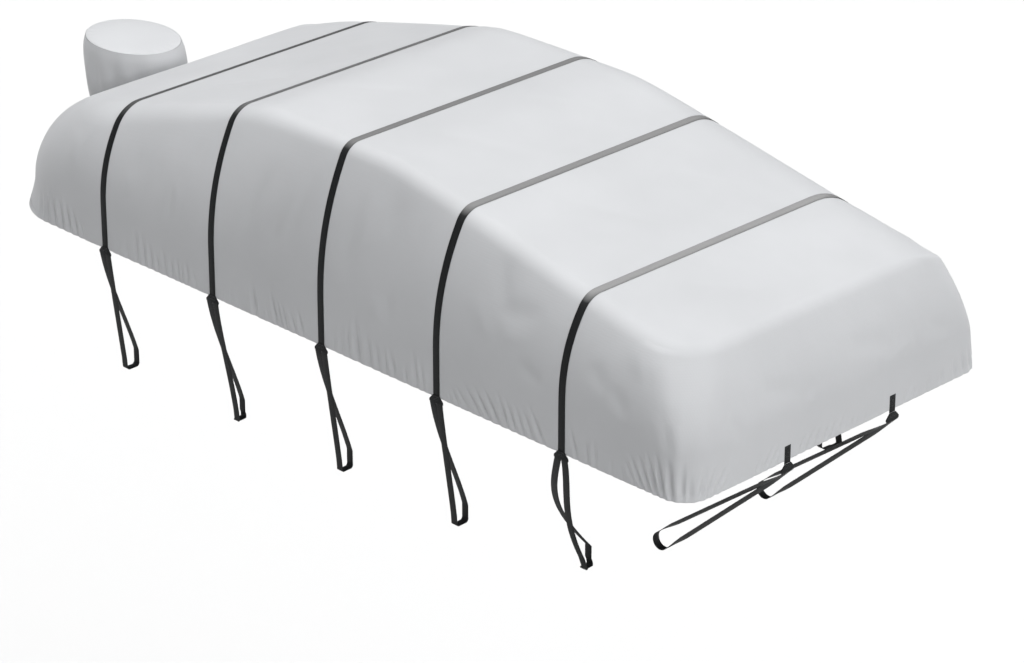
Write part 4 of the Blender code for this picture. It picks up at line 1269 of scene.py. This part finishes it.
def add_lamp(name, kind, way, aim=(0.0, 0.0, 0.0), far=0.0, **settings):
    """A lamp that stands far along way from the point it is aimed at; a sun only needs the way."""
    data = bpy.data.lights.new(name, kind)
    for key, value in settings.items():
        setattr(data, key, value)
    lamp = bpy.data.objects.new(name, data)
    way = Vector(way).normalized()
    lamp.location = Vector(aim) + way * far
    lamp.rotation_euler = way.to_track_quat("Z", "Y").to_euler()
    bpy.context.scene.collection.objects.link(lamp)


def camera_place():
    """The camera's place and turn, level with the horizon."""
    ahead = Vector(CAMERA_AHEAD).normalized()
    right = ahead.cross(Vector((0.0, 0.0, 1.0))).normalized()
    above = right.cross(ahead)
    turn = Matrix((right, above, -ahead)).transposed().to_4x4()
    return Matrix.Translation(CAMERA_AT) @ turn


class COVER_OT_stage(bpy.types.Operator):
    """Build the floor, the soft studio light and the camera"""
    bl_idname = "cover.stage"
    bl_label = "Build Stage"

    def execute(self, context):
        looks = context.scene.stage_looks
        floor_z = HEM_Z - looks.floor_drop
        mesh = bpy.data.meshes.new("floor")
        mesh.from_pydata([(x * FLOOR_HALF, y * FLOOR_HALF, floor_z)
                          for x, y in ((-1, -1), (1, -1), (1, 1), (-1, 1))], [], [(0, 1, 2, 3)])
        mesh.materials.append(painted_floor(linear(FLOOR_COLOUR)))
        floor = bpy.data.objects.new("floor", mesh)
        context.scene.collection.objects.link(floor)
        world = bpy.data.worlds.new("soft_room")
        world.use_nodes = True
        sky = world.node_tree.nodes["Background"]
        sky.inputs["Color"].default_value = linear(ROOM_COLOUR)
        sky.inputs["Strength"].default_value = looks.ambient
        context.scene.world = world
        context.scene.view_settings.view_transform = "Standard"
        for name, way, strength, spread in SUNS:
            add_lamp(name, "SUN", way, energy=strength, angle=math.radians(spread))
        add_lamp("corner_strip", "AREA", STRIP_WAY, STRIP_AIM, STRIP_FAR, shape="RECTANGLE",
                 size=STRIP_SIZE[0], size_y=STRIP_SIZE[1], energy=STRIP_POWER)
        add_lamp("hood_spot", "SPOT", SPOT_WAY, (HOOD_X, HOOD_Y, HEM_Z + SPOT_UP), SPOT_FAR,
                 spot_size=math.radians(SPOT_CONE), spot_blend=1.0, shadow_soft_size=SPOT_SOFT,
                 energy=SPOT_POWER)
        data = bpy.data.cameras.new("camera")
        data.lens, data.sensor_width, data.sensor_fit = looks.lens, CAMERA_SENSOR, "HORIZONTAL"
        data.clip_end = CAMERA_REACH
        camera = bpy.data.objects.new("camera", data)
        camera.matrix_world = camera_place()
        context.scene.collection.objects.link(camera)
        context.scene.camera = camera
        return {"FINISHED"}


class COVER_PT_panel(bpy.types.Panel):
    """The pieces of the cover, in the order they are built"""
    bl_idname = "COVER_PT_panel"
    bl_label = "Fitted Cover"
    bl_space_type = "VIEW_3D"
    bl_region_type = "UI"
    bl_category = "Cover"

    def draw(self, context):
        for group, names in ((context.scene.cover_looks, ("cloth_colour", "crease")),
                             (context.scene.webbing_looks, ("colour", "painted_sheen", "thread")),
                             (context.scene.stage_looks, ("floor_drop", "ambient", "lens"))):
            for name in names:
                self.layout.prop(group, name)
        for operator in OPERATORS:
            self.layout.operator(operator.bl_idname)


OPERATORS = [COVER_OT_cloth, COVER_OT_straps, COVER_OT_ties, COVER_OT_bow_ties, COVER_OT_hood,
             COVER_OT_stage]
GROUPS = {"cover_looks": CoverLooks, "webbing_looks": WebbingLooks, "stage_looks": StageLooks}


def register():
    for group in GROUPS.values():
        bpy.utils.register_class(group)
    for name, group in GROUPS.items():
        setattr(bpy.types.Scene, name, PointerProperty(type=group))
    for operator in OPERATORS:
        bpy.utils.register_class(operator)
    bpy.utils.register_class(COVER_PT_panel)


def unregister():
    bpy.utils.unregister_class(COVER_PT_panel)
    for operator in reversed(OPERATORS):
        bpy.utils.unregister_class(operator)
    for name in GROUPS:
        delattr(bpy.types.Scene, name)
    for group in reversed(list(GROUPS.values())):
        bpy.utils.unregister_class(group)


def main():
    register()
    bpy.ops.cover.cloth()
    bpy.ops.cover.straps()
    bpy.ops.cover.ties()
    bpy.ops.cover.bow_ties()
    bpy.ops.cover.hood()
    bpy.ops.cover.stage()


if __name__ == "__main__":
    main()
